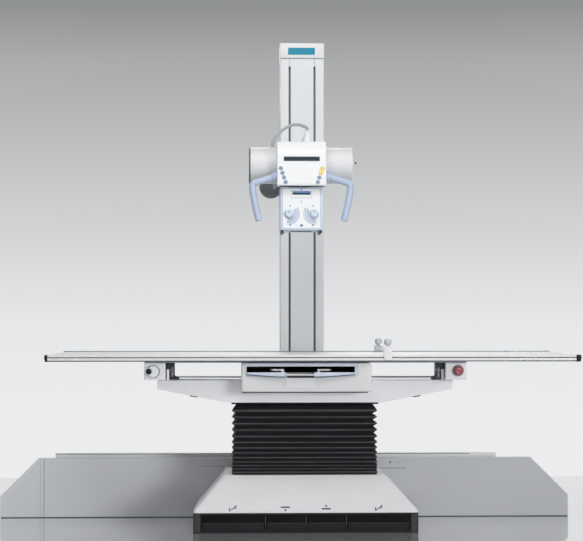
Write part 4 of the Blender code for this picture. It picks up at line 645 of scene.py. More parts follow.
def studio_floor():
    """Pale polished floor: one quad that ends where the photograph's ground begins."""
    look = Finish("studio_floor", (218, 219, 221), 0.10, 0.42, IOR=1.9, Coat_Weight=1.0, Coat_Roughness=0.04)
    look.drift(0.02, 0.8).gloss(0.02, 3.0)
    corners = [(FLOOR_X[a], FLOOR_Y[b], FLOOR_LEVEL) for a, b in ((0, 0), (1, 0), (1, 1), (0, 1))]
    mesh = bpy.data.meshes.new("floor")
    mesh.from_pydata(corners, [], [(0, 1, 2, 3)])
    mesh.materials.append(look.material)
    floor = bpy.data.objects.new("floor", mesh)
    bpy.context.scene.collection.objects.link(floor)


# ---- the cord ----

CABLE_RADIUS = 0.0070
CABLE_ROUTE = (
    (-0.1447, 0.015, 1.7712),
    (-0.1447, 0.015, 1.7860),
    (-0.1380, 0.021, 1.8060),
    (-0.1270, 0.028, 1.8240),
    (-0.1130, 0.037, 1.8390),
    (-0.0960, 0.047, 1.8550),
    (-0.0780, 0.058, 1.8685),
    (-0.0600, 0.069, 1.8785),
    (-0.0440, 0.079, 1.8840),
    (-0.0280, 0.089, 1.8862),
    (-0.0120, 0.099, 1.8855),
    (0.0030, 0.109, 1.8815),
    (0.0165, 0.119, 1.8785),
    (0.0245, 0.125, 1.8725),
    (0.0245, 0.125, 1.8616),
)


def cable():
    """Grey cable from the gland on the tube up and over into its boot."""
    curve = bpy.data.curves.new("tube_cable_run", "CURVE")
    curve.dimensions = "3D"
    curve.bevel_depth = CABLE_RADIUS
    curve.bevel_resolution = 6
    curve.use_fill_caps = True
    curve.materials.append(CABLE)
    spline = curve.splines.new("POLY")
    spline.points.add(len(CABLE_ROUTE) - 1)
    for point, place in zip(spline.points, CABLE_ROUTE):
        point.co = (*place, 1.0)
    run = bpy.data.objects.new("tube_cable_run", curve)
    bpy.context.scene.collection.objects.link(run)
    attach(run, "head")
    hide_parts("tube_cable")


# ---- pedestal and lift ----

FRAME_WALL, FRAME_SILL, FRAME_BACK_DRAFT = 0.012, 0.010, 0.036
STUD_PITCH = 0.0094
COVER_TOP_HALF, COVER_TOP_FRONT = 0.372, -0.206
COVER_LIP, LIP_DROP, PICTOGRAM_RISE = 0.006, 0.003, 0.0165
PLEATS, ROWS_EACH, SLEEVE_WALL, FRAME_FORWARD = 13, 12, 0.026, 0.022
# height of each crest as a share of the sleeve, from the bottom up
CREST_HEIGHTS = (0.041, 0.083, 0.130, 0.180, 0.242, 0.309, 0.379, 0.456, 0.539, 0.631, 0.720, 0.813, 0.898)


def foot_switch(number):
    """Foot switch with a step half way up, and rows of cone studs below it."""
    node = f"pedal_{number}"
    low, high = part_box(node)
    step = low[2] + 0.5 * (high[2] - low[2])
    upper, lower = low[1] + 0.0040, low[1] + 0.0012
    profile = [(high[1], low[2]), (high[1], high[2]), (upper, high[2]), (upper, step + 0.002), (lower, step),
               (lower, low[2])]
    plate = extruded(filleted(profile, 0.0012, 2), X, low[0], high[0], 0.0006)
    across = np.arange(low[0] + 0.008, high[0] - 0.006, STUD_PITCH)
    upwards = np.arange(low[2] + 0.005, step - 0.004, STUD_PITCH * 0.82)
    places = np.stack(np.meshgrid(across, upwards), -1)
    places[1::2, :, 0] += STUD_PITCH / 2 - 0.001
    cone = [(0.0031, lower + 0.0002), (0.0026, lower - 0.0008), (0.0013, low[1])]
    studs = [turned(cone, place, Y, 8) for place in places.reshape(-1, 2)]
    ledge = block((low[0] + 0.006, low[1] + 0.0004, step - 0.0026),
                  (high[0] - 0.006, lower + 0.001, step - 0.0012), 0.0005, 0.0003, X, 2)
    piece(f"foot_switch_{number}", plate, FOOT_RUBBER, node, node, slot="black_rubber")
    piece(f"foot_studs_{number}", together(ledge, *studs), STUD, node, slot="black_rubber")


def kick_strip():
    """Black base frame, a little narrower at the back, with its four foot switches and grey end bands."""
    low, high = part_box("pedestal_base")
    top = high[2] - LIP_DROP
    inset = np.array([0.0, 0.0, 0.001, FRAME_WALL, FRAME_WALL])
    heights = np.array([0.0, top - 0.001, top, top, FRAME_SILL])
    radius = np.array([0.004, 0.004, 0.004, 0.002, 0.002])
    rows = corner_rows(low[0] + inset, high[0] - inset, low[1] + inset, high[1] - inset, radius, 3)
    rows[..., 0] *= 1 - FRAME_BACK_DRAFT * (rows[..., 1] - low[1]) / (high[1] - low[1])
    base = piece("kick_frame", stacked(rows, heights), BLACK, "base", "pedestal_base", slot="black_rubber")
    boxes = [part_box(f"pedal_{number}") for number in range(1, 5)]
    fit, front, back = 0.0005, low[1] - 0.01, low[1] + FRAME_WALL + 0.01
    windows = [block((a[0] - fit, front, a[2] - fit), (b[0] + fit, back, b[2] + fit), 0.001, 0.0005, Y, 2)
               for a, b in boxes]
    cut(base, together(*windows))
    for number in range(1, 5):
        foot_switch(number)
    divider = rounded_rectangle((-0.0009, 0.0009), (0.030, 0.076), 0.0004, 2)
    for number, (before, after) in enumerate(zip(boxes, boxes[1:]), 1):
        gap = (before[1][0] + after[0][0]) / 2
        stuck_on(f"kick_divider_{number}", [divider], (gap, low[1], 0.0), DIVIDER, "base")
    for name, start, end in (("left", -0.5000, -0.4740), ("right", 0.4740, 0.5000)):
        band = rounded_rectangle((start, end), (0.0035, 0.0860), 0.002, 3)
        stuck_on(f"kick_band_{name}", [band], (0.0, low[1], 0.0), KICK_GREY, "base", 0.0004)


def cover_slope(along):
    """Point on the front slope of the cover, so far up it from the lip, and the slope's direction."""
    low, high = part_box("pedestal_cover")
    foot = np.array([low[1], low[2] + COVER_LIP])
    run = np.array([COVER_TOP_FRONT - low[1], high[2] - foot[1]])
    run /= np.linalg.norm(run)
    return foot + run * along, run


def pictograms():
    """Plain arrows and bars low on the cover's front slope, one set over each foot switch."""
    (y, z), run = cover_slope(PICTOGRAM_RISE)
    width = 0.0044
    down = [stroke((-0.0205, 0.005), (0.0205, 0.005), 0.0085), stroke((0.0, -0.005), (0.0, -0.011), width),
            arrow_head((0.0, -0.020), (0.0, -1.0), 0.011)]
    up = [outline * (1.0, -1.0) for outline in down]
    bars = (((-0.012, -0.012), (0.012, 0.010)), ((-0.016, -0.014), (-0.016, 0.004)), ((0.002, 0.0), (0.014, 0.0)))
    crossed = [stroke(*ends, width) for ends in bars]
    crossed += [arrow_head((0.017, 0.016), (1.0, 0.9), 0.011), arrow_head((-0.016, -0.019), (0.0, -1.0), 0.009)]
    for name, x, outlines in (("float_left", -0.3263, crossed), ("table_down", -0.0927, down),
                              ("table_up", 0.0909, up), ("float_right", 0.3289, crossed)):
        stuck_on(f"pictogram_{name}", outlines, (x, y, z), PRINT, "base", 0.0002, up=(0.0, *run))


def pedestal_cover():
    """Sloping cover as one closed wall round its top hole: lean runs from the lip to the top rim."""
    low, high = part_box("pedestal_cover")
    foot = low[2] - LIP_DROP
    profile = filleted([(0.0, foot), (0.0, low[2] + COVER_LIP), (1.0, high[2]), (1.35, high[2])],
                       (0.0, 0.0025, 0.022, 0.0), 6, False)[:-1]
    lean, height = profile.T
    reach = high[0] + (COVER_TOP_HALF - high[0]) * lean
    front = low[1] + (COVER_TOP_FRONT - low[1]) * lean
    rows = corner_rows(-reach, reach, front, high[1], 0.016)
    depth = (rows[..., 1] - front[:, None]) / (high[1] - front)[:, None]
    draft = 0.016 * (1 - 0.5 * np.clip(lean, 0.0, 1.0))
    rows[..., 0] *= 1 - (draft / reach)[:, None] * depth
    rim = corner_rows(-0.17, 0.17, -0.12, 0.12, 0.016)
    outside = to_space(*np.moveaxis(np.concatenate([rows, rim]), -1, 0), np.append(height, high[2])[:, None], Z)
    inside = outside[::-1] * (0.990, 0.990, 1.0) - (0.0, 0.0, 0.004)
    inside[0, :, :2] = outside[-1, :, :2]
    inside[-1, :, 2] = foot
    piece("pedestal_cover_shell", skin(np.concatenate([outside, inside]), loop=True), COVER_WHITE, "base",
          "pedestal_cover", slot="pale_cover")
    pictograms()
    for number, x in enumerate((-0.33, 0.33), 1):
        screw = bar(0.006, high[1] - 0.001, high[1] + 0.0012, (x, 0.118), Y, 0.0006, 20)
        piece(f"cover_screw_{number}", screw, STEEL, "base")


def bellows():
    """Pleated sleeve with its top frame and the masts inside: the inset from a crest is a tooth of the pleat
    number, deeper at the front and towards the top; the pleats crowd downwards and narrow to the back."""
    low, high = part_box("bellows")
    top = high[2] - 0.009
    count = PLEATS * ROWS_EACH
    share = np.arange(count + 1) / count
    crests = [0.0, *(np.arange(PLEATS) + 0.5) / PLEATS, 1.0]
    rise = np.interp(share, crests, [0.0, *CREST_HEIGHTS, 1.0])
    tooth = np.abs((share * PLEATS) % 1.0 * 2 - 1)
    side_inset = (0.0025 + 0.0200 * np.clip((share - 0.2) / 0.8, 0.0, 1.0) ** 1.05) * tooth ** 1.1
    front_inset = (0.010 + 0.011 * np.clip(share * 1.5, 0.0, 1.0)) * tooth ** 1.2
    inner = [SLEEVE_WALL, SLEEVE_WALL]
    across, along = [np.concatenate([inset + 0.0004, inner]) for inset in (side_inset, front_inset)]
    heights = np.concatenate([low[2] + (top - low[2]) * rise, [top, low[2]]])
    radius = np.concatenate([np.full(count + 1, 0.020), [0.010, 0.010]])
    rows = corner_rows(low[0] + across, high[0] - across, low[1] + along, high[1] - along, radius)
    rows[..., 0] *= 1 - 0.020 * (1 + rows[..., 1] / high[1])
    sleeve = piece("bellows_sleeve", stacked(rows, heights, loop=True), FOLDS, "base", "bellows",
                   slot="bellows_cloth", angle=50.0)
    # faces along each pleat crest get the paler cloth, painted as highlight where the crests catch the light
    sleeve.data.materials.append(CREST_HIGHLIGHT)
    band = np.arange(len(sleeve.data.polygons)) // rows.shape[1]
    middle = ROWS_EACH // 2
    crest = (band % ROWS_EACH >= middle - 1) & (band % ROWS_EACH <= middle) & (band < count)
    sleeve.data.polygons.foreach_set("material_index", crest.astype(np.int32))
    sleeve.parent = None
    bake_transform(sleeve)

    insets = np.array([0.0015, 0.0, 0.0, 0.001, *inner])
    heights = np.array([top - 0.0010, top + 0.0005, high[2] - 0.001, high[2], high[2], top + 0.0002])
    front = low[1] - FRAME_FORWARD * (insets < SLEEVE_WALL)
    rows = corner_rows(low[0] + insets, high[0] - insets, front + insets, high[1] - insets, 0.006)
    piece("bellows_top_frame", stacked(rows, heights, loop=True), BLACK, "lift", slot="black_rubber")
    carried_over("outer_mast", "outer_mast_tube", STEEL, "base", 0.0)
    carried_over("inner_mast", "inner_mast_tube", STEEL, "lift", 0.0)


# ---- floor housing ----

RAIL_LEFT_CUT, RAIL_RIGHT_CUT, GROOVE_END = 0.011, 0.014, 0.820


def floor_housing():
    """Front panel lengths, bed and trolley, the travel rail, the small lines and fixings that show, and dark
    strips painted as shade in the rail's groove and at the panel's foot.
    """
    for node, name, body, edge in (("floor_panel", "floor_panel_sheet", "base", 0.0015),
                                   ("panel_end", "panel_end_sheet", "base", 0.0015),
                                   ("rail_bed", "rail_bed_channel", "base", 0.0015),
                                   ("column_trolley", "trolley_cover", "column", 0.002)):
        carried_over(node, name, SILVER, body, edge)
    low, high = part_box("guide_rail")
    left, right = low[0] + RAIL_LEFT_CUT, high[0] - RAIL_RIGHT_CUT
    groove = high[2] - 0.0014
    profile = [(low[1], low[2]), (high[1], low[2]), (high[1], high[2]), (low[1], high[2]), (low[1], groove),
               (low[1] + 0.002, groove), (low[1] + 0.002, groove - 0.003), (low[1], groove - 0.003)]
    radii = (0.001, 0.001, 0.001, 0.0006, 0.0004, 0.0004, 0.0004, 0.0005)
    piece("travel_rail", extruded(filleted(profile, radii, 3), X, left, right, 0.0004), PANEL_WHITE, "base",
          "guide_rail", slot="anodised_rail")
    # dark strip in the rail's groove, painted as shade
    strip = block((left + 0.002, low[1] + 0.0004, groove - 0.0027),
                  (GROOVE_END, low[1] + 0.0022, groove - 0.0003), 0.0004, 0.0003, X, 2)
    piece("travel_rail_groove_shade", strip, SEAM_AND_SHADE_DARK, "base")

    panel_low, panel_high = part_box("floor_panel")
    end_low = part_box("panel_end")[0]
    place = (0.0, panel_low[1], 0.0)
    # dark line along the panel's foot, painted as shade between panel and floor
    foot = rounded_rectangle((end_low[0] + 0.002, panel_high[0] - 0.002), (0.0, 0.0034), 0.0005, 2)
    stuck_on("panel_foot_shade", [foot], place, SEAM_AND_SHADE, "base")
    lines = [rounded_rectangle((x - half, x + half), (0.005, panel_high[2] - 0.003), 0.0004, 2)
             for x, half in ((panel_low[0] - 0.0002, 0.0017), (panel_low[0] - 0.018, 0.0006))]
    stuck_on("panel_joint_line", lines, place, SEAM_PALE, "base", 0.0002)
    hatch = [stroke((start, z), (end, z), width)
             for start, end, z, width in ((0.372, 0.506, 0.2338, 0.0035), (-0.495, -0.372, 0.2430, 0.0018))]
    stuck_on("panel_hatch_line", hatch, place, SEAM_PALE, "base", 0.0002)
    dots = [round_sign(radius, 12) + (x, 0.2620) for x, radius in ((0.4300, 0.0046), (0.4680, 0.0028))]
    stuck_on("panel_dots", dots, place, SEAM_AND_SHADE, "base")


# ---- table ----

BEAM_SHOULDER, WING_RISE = 0.350, 0.0615
TRAY_LEFT, TRAY_RIGHT, GRIP_HALF = -0.2673, 0.2181, 0.0630


def table_beam():
    """Winged beam: outline carried across, a dark reveal and the polished deck plate on top, wing pads."""
    low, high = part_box("table_beam")
    wing = low[2] + WING_RISE
    deck, reveal = high[2] - 0.0018, high[2] - 0.0030
    outline = [(-BEAM_SHOULDER, low[2]), (BEAM_SHOULDER, low[2]), (high[0], wing), (high[0], reveal),
               (low[0], reveal), (low[0], wing)]
    radii = (0.006, 0.006, 0.0030, 0.0026, 0.0026, 0.0030)
    shape = extruded(filleted(outline, radii, 3), Y, low[1], high[1], 0.0016)
    piece("beam_shell", shape, BEAM_GREY, "lift", "table_beam", slot="white_enamel")

    def layer(name, x, y, z, corner, edge, look, *way):
        """Plate on the beam, drawn in from its ends by x."""
        shape = block((low[0] + x, y[0], z[0]), (high[0] - x, y[1], z[1]), corner, edge, *way)
        piece(name, shape, look, "lift")

    layer("beam_reveal", 0.003, (low[1] + 0.002, high[1] - 0.002), (reveal - 0.0005, deck), 0.002, 0.0003, SEAM_AND_SHADE)
    layer("beam_deck", 0.001, (low[1] + 0.0005, high[1] - 0.0005), (deck, high[2]), 0.002, 0.0006, DECK)
    rib = (high[2] - 0.0004, high[2] + 0.0014)
    layer("deck_rib", 0.004, (0.075, 0.081), rib, 0.0008, 0.0004, SEAM_PALE, X, 2)
    slope = WING_RISE / (high[0] - BEAM_SHOULDER)
    pads = []
    for side, _ in SIDES:
        x = np.array([0.492, 0.524]) * side
        z = low[2] + (np.abs(x) - BEAM_SHOULDER) * slope
        outline = [(x[0], z[0] + 0.001), (x[1], z[1] + 0.001), (x[1], z[1] - 0.0045), (x[0], z[0] - 0.0045)]
        pads.append(extruded(filleted(outline, 0.001, 2), Y, low[1] + 0.004, low[1] + 0.034, 0.0006))
    piece("wing_pads", together(*pads), DARK_STEEL, "lift")


def roller_bracket(side, name):
    """Bracket beside an end box with its roller, wheel and guard; x runs from the box to the table's middle."""
    low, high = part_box(f"end_box_{name}")
    carrier_low, carrier_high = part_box(f"carrier_{name}")
    near = (low[0], high[0])[::side][0]
    front, base, top = carrier_low[1], low[2] + 0.0005, high[2]

    def at(x):
        """Place along X."""
        return near - side * x

    def plate(outline, radius, front, back, edge):
        """Outline of such places carried along Y."""
        return extruded(filleted([(at(x), z) for x, z in outline], radius, 3), Y, front, back, edge)

    def upright(x, y, z, corner, edge):
        """Block between two such places."""
        left, right = sorted((at(x[0]), at(x[1])))
        return block((left, y[0], z[0]), (right, y[1], z[1]), corner, edge)

    hook = [(0.0015, top - 0.0006), (0.0390, top - 0.0006), (0.0390, top - 0.020), (0.0250, top - 0.021),
            (0.0150, top - 0.030), (0.0015, top - 0.032)]
    foot = [(0.0235, base), (0.0580, base), (0.0620, base + 0.006), (0.0560, base + 0.013),
            (0.0400, base + 0.017), (0.0235, base + 0.024)]
    body = plate(hook, 0.002, front, carrier_high[1], 0.001)
    sole = plate(foot, 0.0025, front + 0.004, front + 0.046, 0.0012)
    rear = upright((0.0015, 0.0390), (front + 0.022, carrier_high[1]), (base, top - 0.021), 0.002, 0.001)
    pin = bar(0.0026, front + 0.001, front + 0.012, (at(0.0460), base + 0.008), Y, 0.0005, 20)
    piece(f"roller_bracket_{name}", together(body, sole, rear, pin), DARK_STEEL, "lift", f"carrier_{name}",
          slot="black_rubber")
    roller = bar(0.0085, base + 0.012, top - 0.021, (at(0.0285), front + 0.012), Z, 0.0015, 32)
    wheel = bar(0.0110, front + 0.003, front + 0.016, (at(0.0300), top - 0.034), Y, 0.0012, 32)
    piece(f"roller_{name}", together(roller, wheel), ROLLER, "lift")
    guard = upright((0.0050, 0.0160), (front - 0.0005, front + 0.020), (base, top - 0.030), 0.0015, 0.001)
    piece(f"roller_guard_{name}", guard, WHITE, "lift")


def end_boxes():
    """Boxes at both ends of the beam, each with a slimmer tail, and their roller brackets."""
    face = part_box("end_box_left")[0][1]
    for side, name in SIDES:
        low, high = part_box(f"end_box_{name}")
        box = block((low[0], face, low[2]), (high[0], 0.040, high[2]), 0.0045, 0.003, Y)
        left, right = (low[0] + 0.034, high[0]) if side > 0 else (low[0], high[0] - 0.034)
        tail = block((left + 0.0005, 0.030, low[2] + 0.0005), (right - 0.0005, -face, high[2] - 0.0005),
                     0.0045, 0.003, Y)
        piece(f"rail_box_{name}", together(box, tail), WHITE, "lift", f"end_box_{name}", slot="white_enamel")
        roller_bracket(side, name)


def stop_button():
    """Turned collar on the box, guide behind, mushroom as a cup over it, and two pale arrows in front."""
    low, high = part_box("stop_button")
    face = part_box("end_box_left")[0][1]
    centre = middle_of("stop_button", X, Z)
    radius = (high[0] - low[0]) / 2
    collar, rim, inside = face - 0.0030, face - 0.0073, 0.0165
    ring = bar(0.0262, collar, face + 0.001, centre, Y, 0.0007, 64, 0.0095)
    piece("stop_collar", ring, STOP_GREY, "lift")
    profile = [(0.1 * radius, low[1] + 0.0003), (0.60 * radius, low[1] + 0.0006),
               (0.90 * radius, low[1] + 0.0035), (radius, low[1] + 0.0085), (radius, rim), (inside, rim),
               (inside, rim - 0.005), (0.002, rim - 0.005)]
    radii = (0, 0.002, 0.002, 0.002, 0.0008, 0.0005, 0.0005, 0)
    head = turned(filleted(profile, radii, 4, False), centre, Y)
    piece("stop_guide", bar(0.0155, rim - 0.0005, collar, centre, Y, 0.0004, 32), RING_GREY, "lift")
    piece("stop_mushroom", head, RED, "stop_button", "stop_button", slot="stop_red")
    arrows = [ring_band(0.0075, 0.0105, start, start + 110.0) for start in (20.0, 200.0)]
    stuck_on("stop_arrows", arrows, (centre[0], low[1] + 0.0004, centre[1]), RED_PALE, "stop_button")


def lock_knob():
    """Turned white dial with a grey ring round it and a black ball near its edge."""
    low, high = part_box("lock_knob")
    back = high[1]
    ball = (low[0] + 0.0135, middle_of("lock_knob", Z)[0])
    centre = (high[0] - 0.0275, ball[1])
    plate = [(0.006, back - 0.0100), (0.0255, back - 0.0100), (0.0262, back - 0.0010), (0.006, back - 0.0010)]
    dial = turned(filleted(plate, (0, 0.0020, 0.0005, 0), 4, False), centre, Y)
    piece("lock_dial", dial, PANEL_WHITE, "lock_knob", "lock_knob", slot="cover_alloy")
    ring = bar(0.0286, back - 0.0070, back, (centre[0] + 0.0024, centre[1]), Y, 0.0012, 64)
    piece("lock_ring", ring, STOP_GREY, "lock_knob")
    turn = np.linspace(0.10, PI - 0.5, 16)
    shape = np.stack([0.0128 * np.sin(turn), low[1] + 0.0118 * (1 - np.cos(turn))], -1)
    neck = bar(0.0045, back - 0.016, back - 0.006, ball, Y, 0.0005, 20)
    piece("lock_ball", together(turned(shape, ball, Y, 32), neck), BLACK, "lock_knob", slot="black_rubber")


def tray_housing():
    """Housing and its slot as one skin of rounded rectangles: back, apron step, soft front, slot rim, floor."""
    low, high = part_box("tray_housing")
    step_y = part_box("table_beam")[0][1] - 0.0003
    floor_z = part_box("end_box_left")[0][2]
    slot = (TRAY_LEFT, TRAY_RIGHT, floor_z + 0.0192, floor_z + 0.0621)
    turn = np.linspace(0.0, PI / 2, 6)
    soft = 0.010
    draw = soft * (1 - np.cos(turn))
    rim = 0.002 * (1 - np.sin(turn))
    table = [
        (low[0] + 0.002, high[0] - 0.002, floor_z, high[2], 0.003, high[1]),
        (low[0], high[0], floor_z, high[2], 0.004, high[1] - 0.002),
        (low[0], high[0], floor_z, high[2], 0.004, step_y + 0.0001),
        (low[0], high[0], low[2], high[2], 0.009, step_y),
    ]
    table += [(low[0] + d, high[0] - d, low[2] + d * 0.7, high[2] - d * 0.1, 0.009, low[1] + soft * (1 - s))
              for d, s in zip(draw, np.sin(turn))]
    table += [(slot[0] - d, slot[1] + d, slot[2] - d, slot[3] + d, 0.004, low[1] + 0.002 * (1 - c))
              for d, c in zip(rim, np.cos(turn))]
    table += [(*slot, 0.004, low[1] + 0.010), (*slot, 0.004, low[1] + 0.560)]
    *sides, depth = np.array(table).T
    rows = corner_rows(*sides)
    housing = piece("tray_housing_shell", stacked(rows, depth, Y), HOUSING_WHITE, "lift", "tray_housing",
                    slot="cover_alloy")
    # the slot's deep walls and its floor are painted dark as shade
    housing.data.materials.append(RECESS_SHADE)
    faces = np.arange(len(housing.data.polygons))
    dark = (faces // rows.shape[1] == len(table) - 2) | (faces == len(faces) - 1)
    housing.data.polygons.foreach_set("material_index", dark.astype(np.int32))
    housing_trim(low, high, slot)


def housing_trim(low, high, slot):
    """Blue trim round the slot, the line beside it, a dark strip below painted as shadow, painted shadow in the
    grip's recess, and a pale patch painted as reflection.
    """
    left, right, top, foot = TRAY_LEFT - 0.0062, TRAY_RIGHT + 0.0098, slot[3] + 0.0132, slot[2] - 0.003
    in_left, in_right, in_top = slot[0] - 0.0004, slot[1] + 0.0004, slot[3] + 0.0004
    outline = [(left, foot), (left, top), (right, top), (right, foot), (in_right, foot), (in_right, in_top),
               (in_left, in_top), (in_left, foot)]
    radii = (0.001, 0.004, 0.004, 0.001, 0.001, 0.002, 0.002, 0.001)
    trim = extruded(filleted(outline, radii, 3), Y, low[1] - 0.0012, low[1] + 0.001, 0.0004)
    piece("slot_trim", trim, TRAY_BLUE, "lift")
    place = (0.0, low[1], 0.0)
    line = rounded_rectangle((right + 0.0004, right + 0.0018), (slot[2], top - 0.002), 0.0004, 2)
    stuck_on("housing_line", [line], place, SEAM_AND_SHADE, "lift", 0.0002)
    # dark strip under the housing's front edge, painted as its shadow
    shade_strip = block((low[0] + 0.004, low[1] + 0.003, low[2] - 0.0034),
                   (high[0] - 0.016, low[1] + 0.020, low[2] + 0.0008), 0.001, 0.0006, X, 2)
    piece("housing_shade_strip", shade_strip, SEAM_AND_SHADE_DARK, "lift")
    # dark plate on the housing front below the grip, painted as shadow in the recess
    recess = rounded_rectangle((-0.0860, 0.0355), (slot[2] - 0.0075, slot[2] + 0.0005), 0.001, 2)
    stuck_on("grip_recess_shade", [recess], place, RECESS_SHADE, "lift", 0.0004)
    # lighter patch on the housing front below the grip, painted as a reflection
    plate = rounded_rectangle((-0.0885, 0.0375), (low[2] + 0.022, slot[2] - 0.008), 0.003, 4)
    stuck_on("reflection_patch", [plate], place, REFLECTION_WHITE, "lift", 0.0004)


def cassette_tray():
    """Tray plate, two bowed lips that deepen towards the grip between them, and the cassette jaws."""
    low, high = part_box("cassette_tray")
    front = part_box("tray_housing")[0][1]
    middle = middle_of("cassette_tray", X)[0] - 0.003
    plate = block((low[0], front - 0.002, low[2]), (high[0], high[1], low[2] + 0.006), 0.001, 0.0008)
    piece("tray_plate", plate, RING_GREY, "cassette_tray", "cassette_tray", slot="tray_blue")
    share = np.linspace(0.0, 1.0, 30)
    bow = front - 0.0095 - 0.0085 * np.cos(share * PI / 2) ** 1.5
    base = low[2] - 0.0062 * np.cos(share * PI / 2) ** 1.2 + 0.0045 * share ** 2
    top = high[2] + 0.0006 * (1 - share)
    for side, name in SIDES:
        inner = middle + side * GRIP_HALF
        end = (low[0] + 0.0006, high[0] - 0.0006)[::-side][0]
        x = inner + (end - inner) * share
        lip = stacked(corner_rows(bow, front - 0.0012, base + 0.0046, top, 0.0022, 4), x, X)
        neck = block((min(inner, end), front - 0.0030, low[2] + 0.0004),
                     (max(inner, end), front + 0.003, low[2] + 0.0056), 0.001, 0.0006)
        piece(f"tray_lip_{name}", together(lip, neck), TRAY_BLUE, "cassette_tray", slot="tray_blue")
        # dark band along each lip's lower edge, painted as shade on its underside
        lip_shade = stacked(corner_rows(bow + 0.0008, front - 0.0020, base, base + 0.0050, 0.0016, 3), x, X)
        piece(f"tray_lip_underside_shade_{name}", lip_shade, SEAM_AND_SHADE, "cassette_tray")

    left, right, grip_back = middle - GRIP_HALF + 0.001, middle + GRIP_HALF - 0.001, low[1] + 0.012
    # the grip web is a dark block painted as shade behind the grip
    for name, y, z, corner, edge, way, look in (
            ("tray_grip", (low[1] + 0.001, grip_back), (0.0040, 0.0085), 0.0020, 0.0015, (X,), PANEL_WHITE),
            ("tray_ridge", (front + 0.0455, front + 0.0485), (0.004, 0.0145), 0.001, 0.0006, (X, 2), RING_GREY),
            ("tray_grip_web", (grip_back - 0.003, front + 0.002), (0.0030, 0.0065), 0.001, 0.0006, (), RECESS_SHADE)):
        shape = block((left, y[0], low[2] + z[0]), (right, y[1], low[2] + z[1]), corner, edge, *way)
        piece(name, shape, look, "cassette_tray")
    for side, name in SIDES:
        cassette_jaw(side, name)


def cassette_jaw(side, name):
    """Jaw with its post towards the middle and a red tip at the end of its arm: one outline carried along Y."""
    node = f"cassette_clamp_{name}"
    low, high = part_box(node)
    inner, outer = (low[0], high[0])[::side]
    post, arm = inner + side * 0.0125, high[2] - 0.0072
    outline = [(inner, low[2]), (inner, high[2]), (outer, high[2]), (outer, arm), (post, arm), (post, low[2])]
    jaw = extruded(filleted(outline, 0.0015, 3), Y, low[1], high[1], 0.0008)
    piece(f"cassette_jaw_{name}", jaw, PANEL_WHITE, node, node, slot="cover_alloy")
    tip = rounded_rectangle(sorted((outer, outer - side * 0.010)), (arm + 0.0008, high[2] - 0.0008), 0.001, 3)
    stuck_on(f"cassette_jaw_tip_{name}", [tip], (0.0, low[1], 0.0), RED, node)


def edge_rail(side, name):
    """Drawn rail: its section carried along X, dark strips painted as shade in its groove and at its foot, and
    small catches.
    """
    low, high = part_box(f"{name}_rail")
    outer, inner = (low[1], high[1])[::side]
    groove, foot = low[2] + 0.0156, low[2] + 0.0044
    step, deep = outer + side * 0.003, outer + side * 0.006
    profile = [(inner, low[2]), (step, low[2]), (step, foot), (outer, foot), (outer, groove), (deep, groove),
               (deep, groove + 0.0040), (outer, groove + 0.0040), (outer, high[2]), (inner, high[2])]
    radii = (0.001, 0.0008, 0.0004, 0.0008, 0.0006, 0.0004, 0.0004, 0.0006, 0.0035, 0.0015)
    rail = extruded(filleted(profile, radii, 4), X, low[0], high[0], 0.0003)
    piece(f"edge_rail_{name}", rail, ALUMINIUM, "tabletop", f"{name}_rail", slot="anodised_rail")

    def inside(x, depths, z, corner, edge):
        """Block between two depths behind the rail's outer face."""
        front, back = sorted(outer + side * depth for depth in depths)
        return block((x[0], front, z[0]), (x[1], back, z[1]), corner, edge, X, 2)

    length = (low[0] + 0.0005, high[0] - 0.0005)
    # dark strips in the groove and in the step at the foot, painted as shade
    strip = inside(length, (0.0008, 0.0058), (groove + 0.0001, groove + 0.0039), 0.0006, 0.0003)
    piece(f"edge_groove_shade_{name}", strip, SEAM_AND_SHADE_DARK, "tabletop")
    strip = inside(length, (0.0006, 0.0040), (low[2] + 0.0002, low[2] + 0.0043), 0.0006, 0.0003)
    piece(f"edge_foot_shade_{name}", strip, SEAM_AND_SHADE_DARK, "tabletop")
    tall = (groove + 0.0004, groove + 0.0030)
    catches = [inside((x - 0.004, x + 0.004), (0.0004, 0.003), tall, 0.0008, 0.0004)
               for x in np.arange(low[0] + 0.20, high[0] - 0.15, 0.62)]
    piece(f"edge_catches_{name}", together(*catches), BLACK, "tabletop")


def table_end(side, name):
    """Moulding across one end of the table top, and rubber caps on the rails' ends, carried along Y."""
    low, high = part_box(f"end_cap_{name}")
    rail_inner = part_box("front_rail")[1][1]
    moulding = block((low[0], rail_inner + 0.0002, low[2] + 0.0045),
                     (high[0], -rail_inner - 0.0002, high[2] - 0.0028), 0.003, 0.002, Y)
    piece(f"end_moulding_{name}", moulding, LAMINATE, "tabletop", f"end_cap_{name}", slot="black_rubber")
    near, far = (low[0], high[0])[::side]
    foot, tall = low[2] + 0.004, high[2] - low[2]
    profile = [(near, foot), (near, high[2]), (far - side * 0.001, high[2]), (far, high[2] - 0.4 * tall),
               (far - side * 0.004, foot)]
    outline = filleted(profile, (0.001, 0.001, 0.006, 0.006, 0.004), 4)
    caps = [extruded(outline, Y, *sorted(ends), 0.0008)
            for ends in ((low[1], rail_inner), (high[1], -rail_inner))]
    piece(f"rail_ends_{name}", together(*caps), BLACK, "tabletop", slot="black_rubber")


def tabletop():
    """Float frame, laminate panel, drawn edge rails, the line behind them, and the two ends."""
    carried_over("float_frame", "float_frame_bars", STEEL, "float_frame", 0.0008)
    low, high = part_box("tabletop_panel")
    piece("table_panel", block(low, high, 0.002, 0.0015, X), LAMINATE, "tabletop", "tabletop_panel",
          slot="table_laminate")
    for side, name in RAILS:
        edge_rail(side, name)
    low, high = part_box("rear_rail")
    line = block((low[0], low[1] - 0.0012, high[2] - 0.0026), (high[0], low[1] - 0.0001, high[2] + 0.0002),
                 0.0004, 0.0002, X, 2)
    piece("rear_edge_line", line, SEAM_AND_SHADE, "tabletop")
    for side, name in SIDES:
        table_end(side, name)


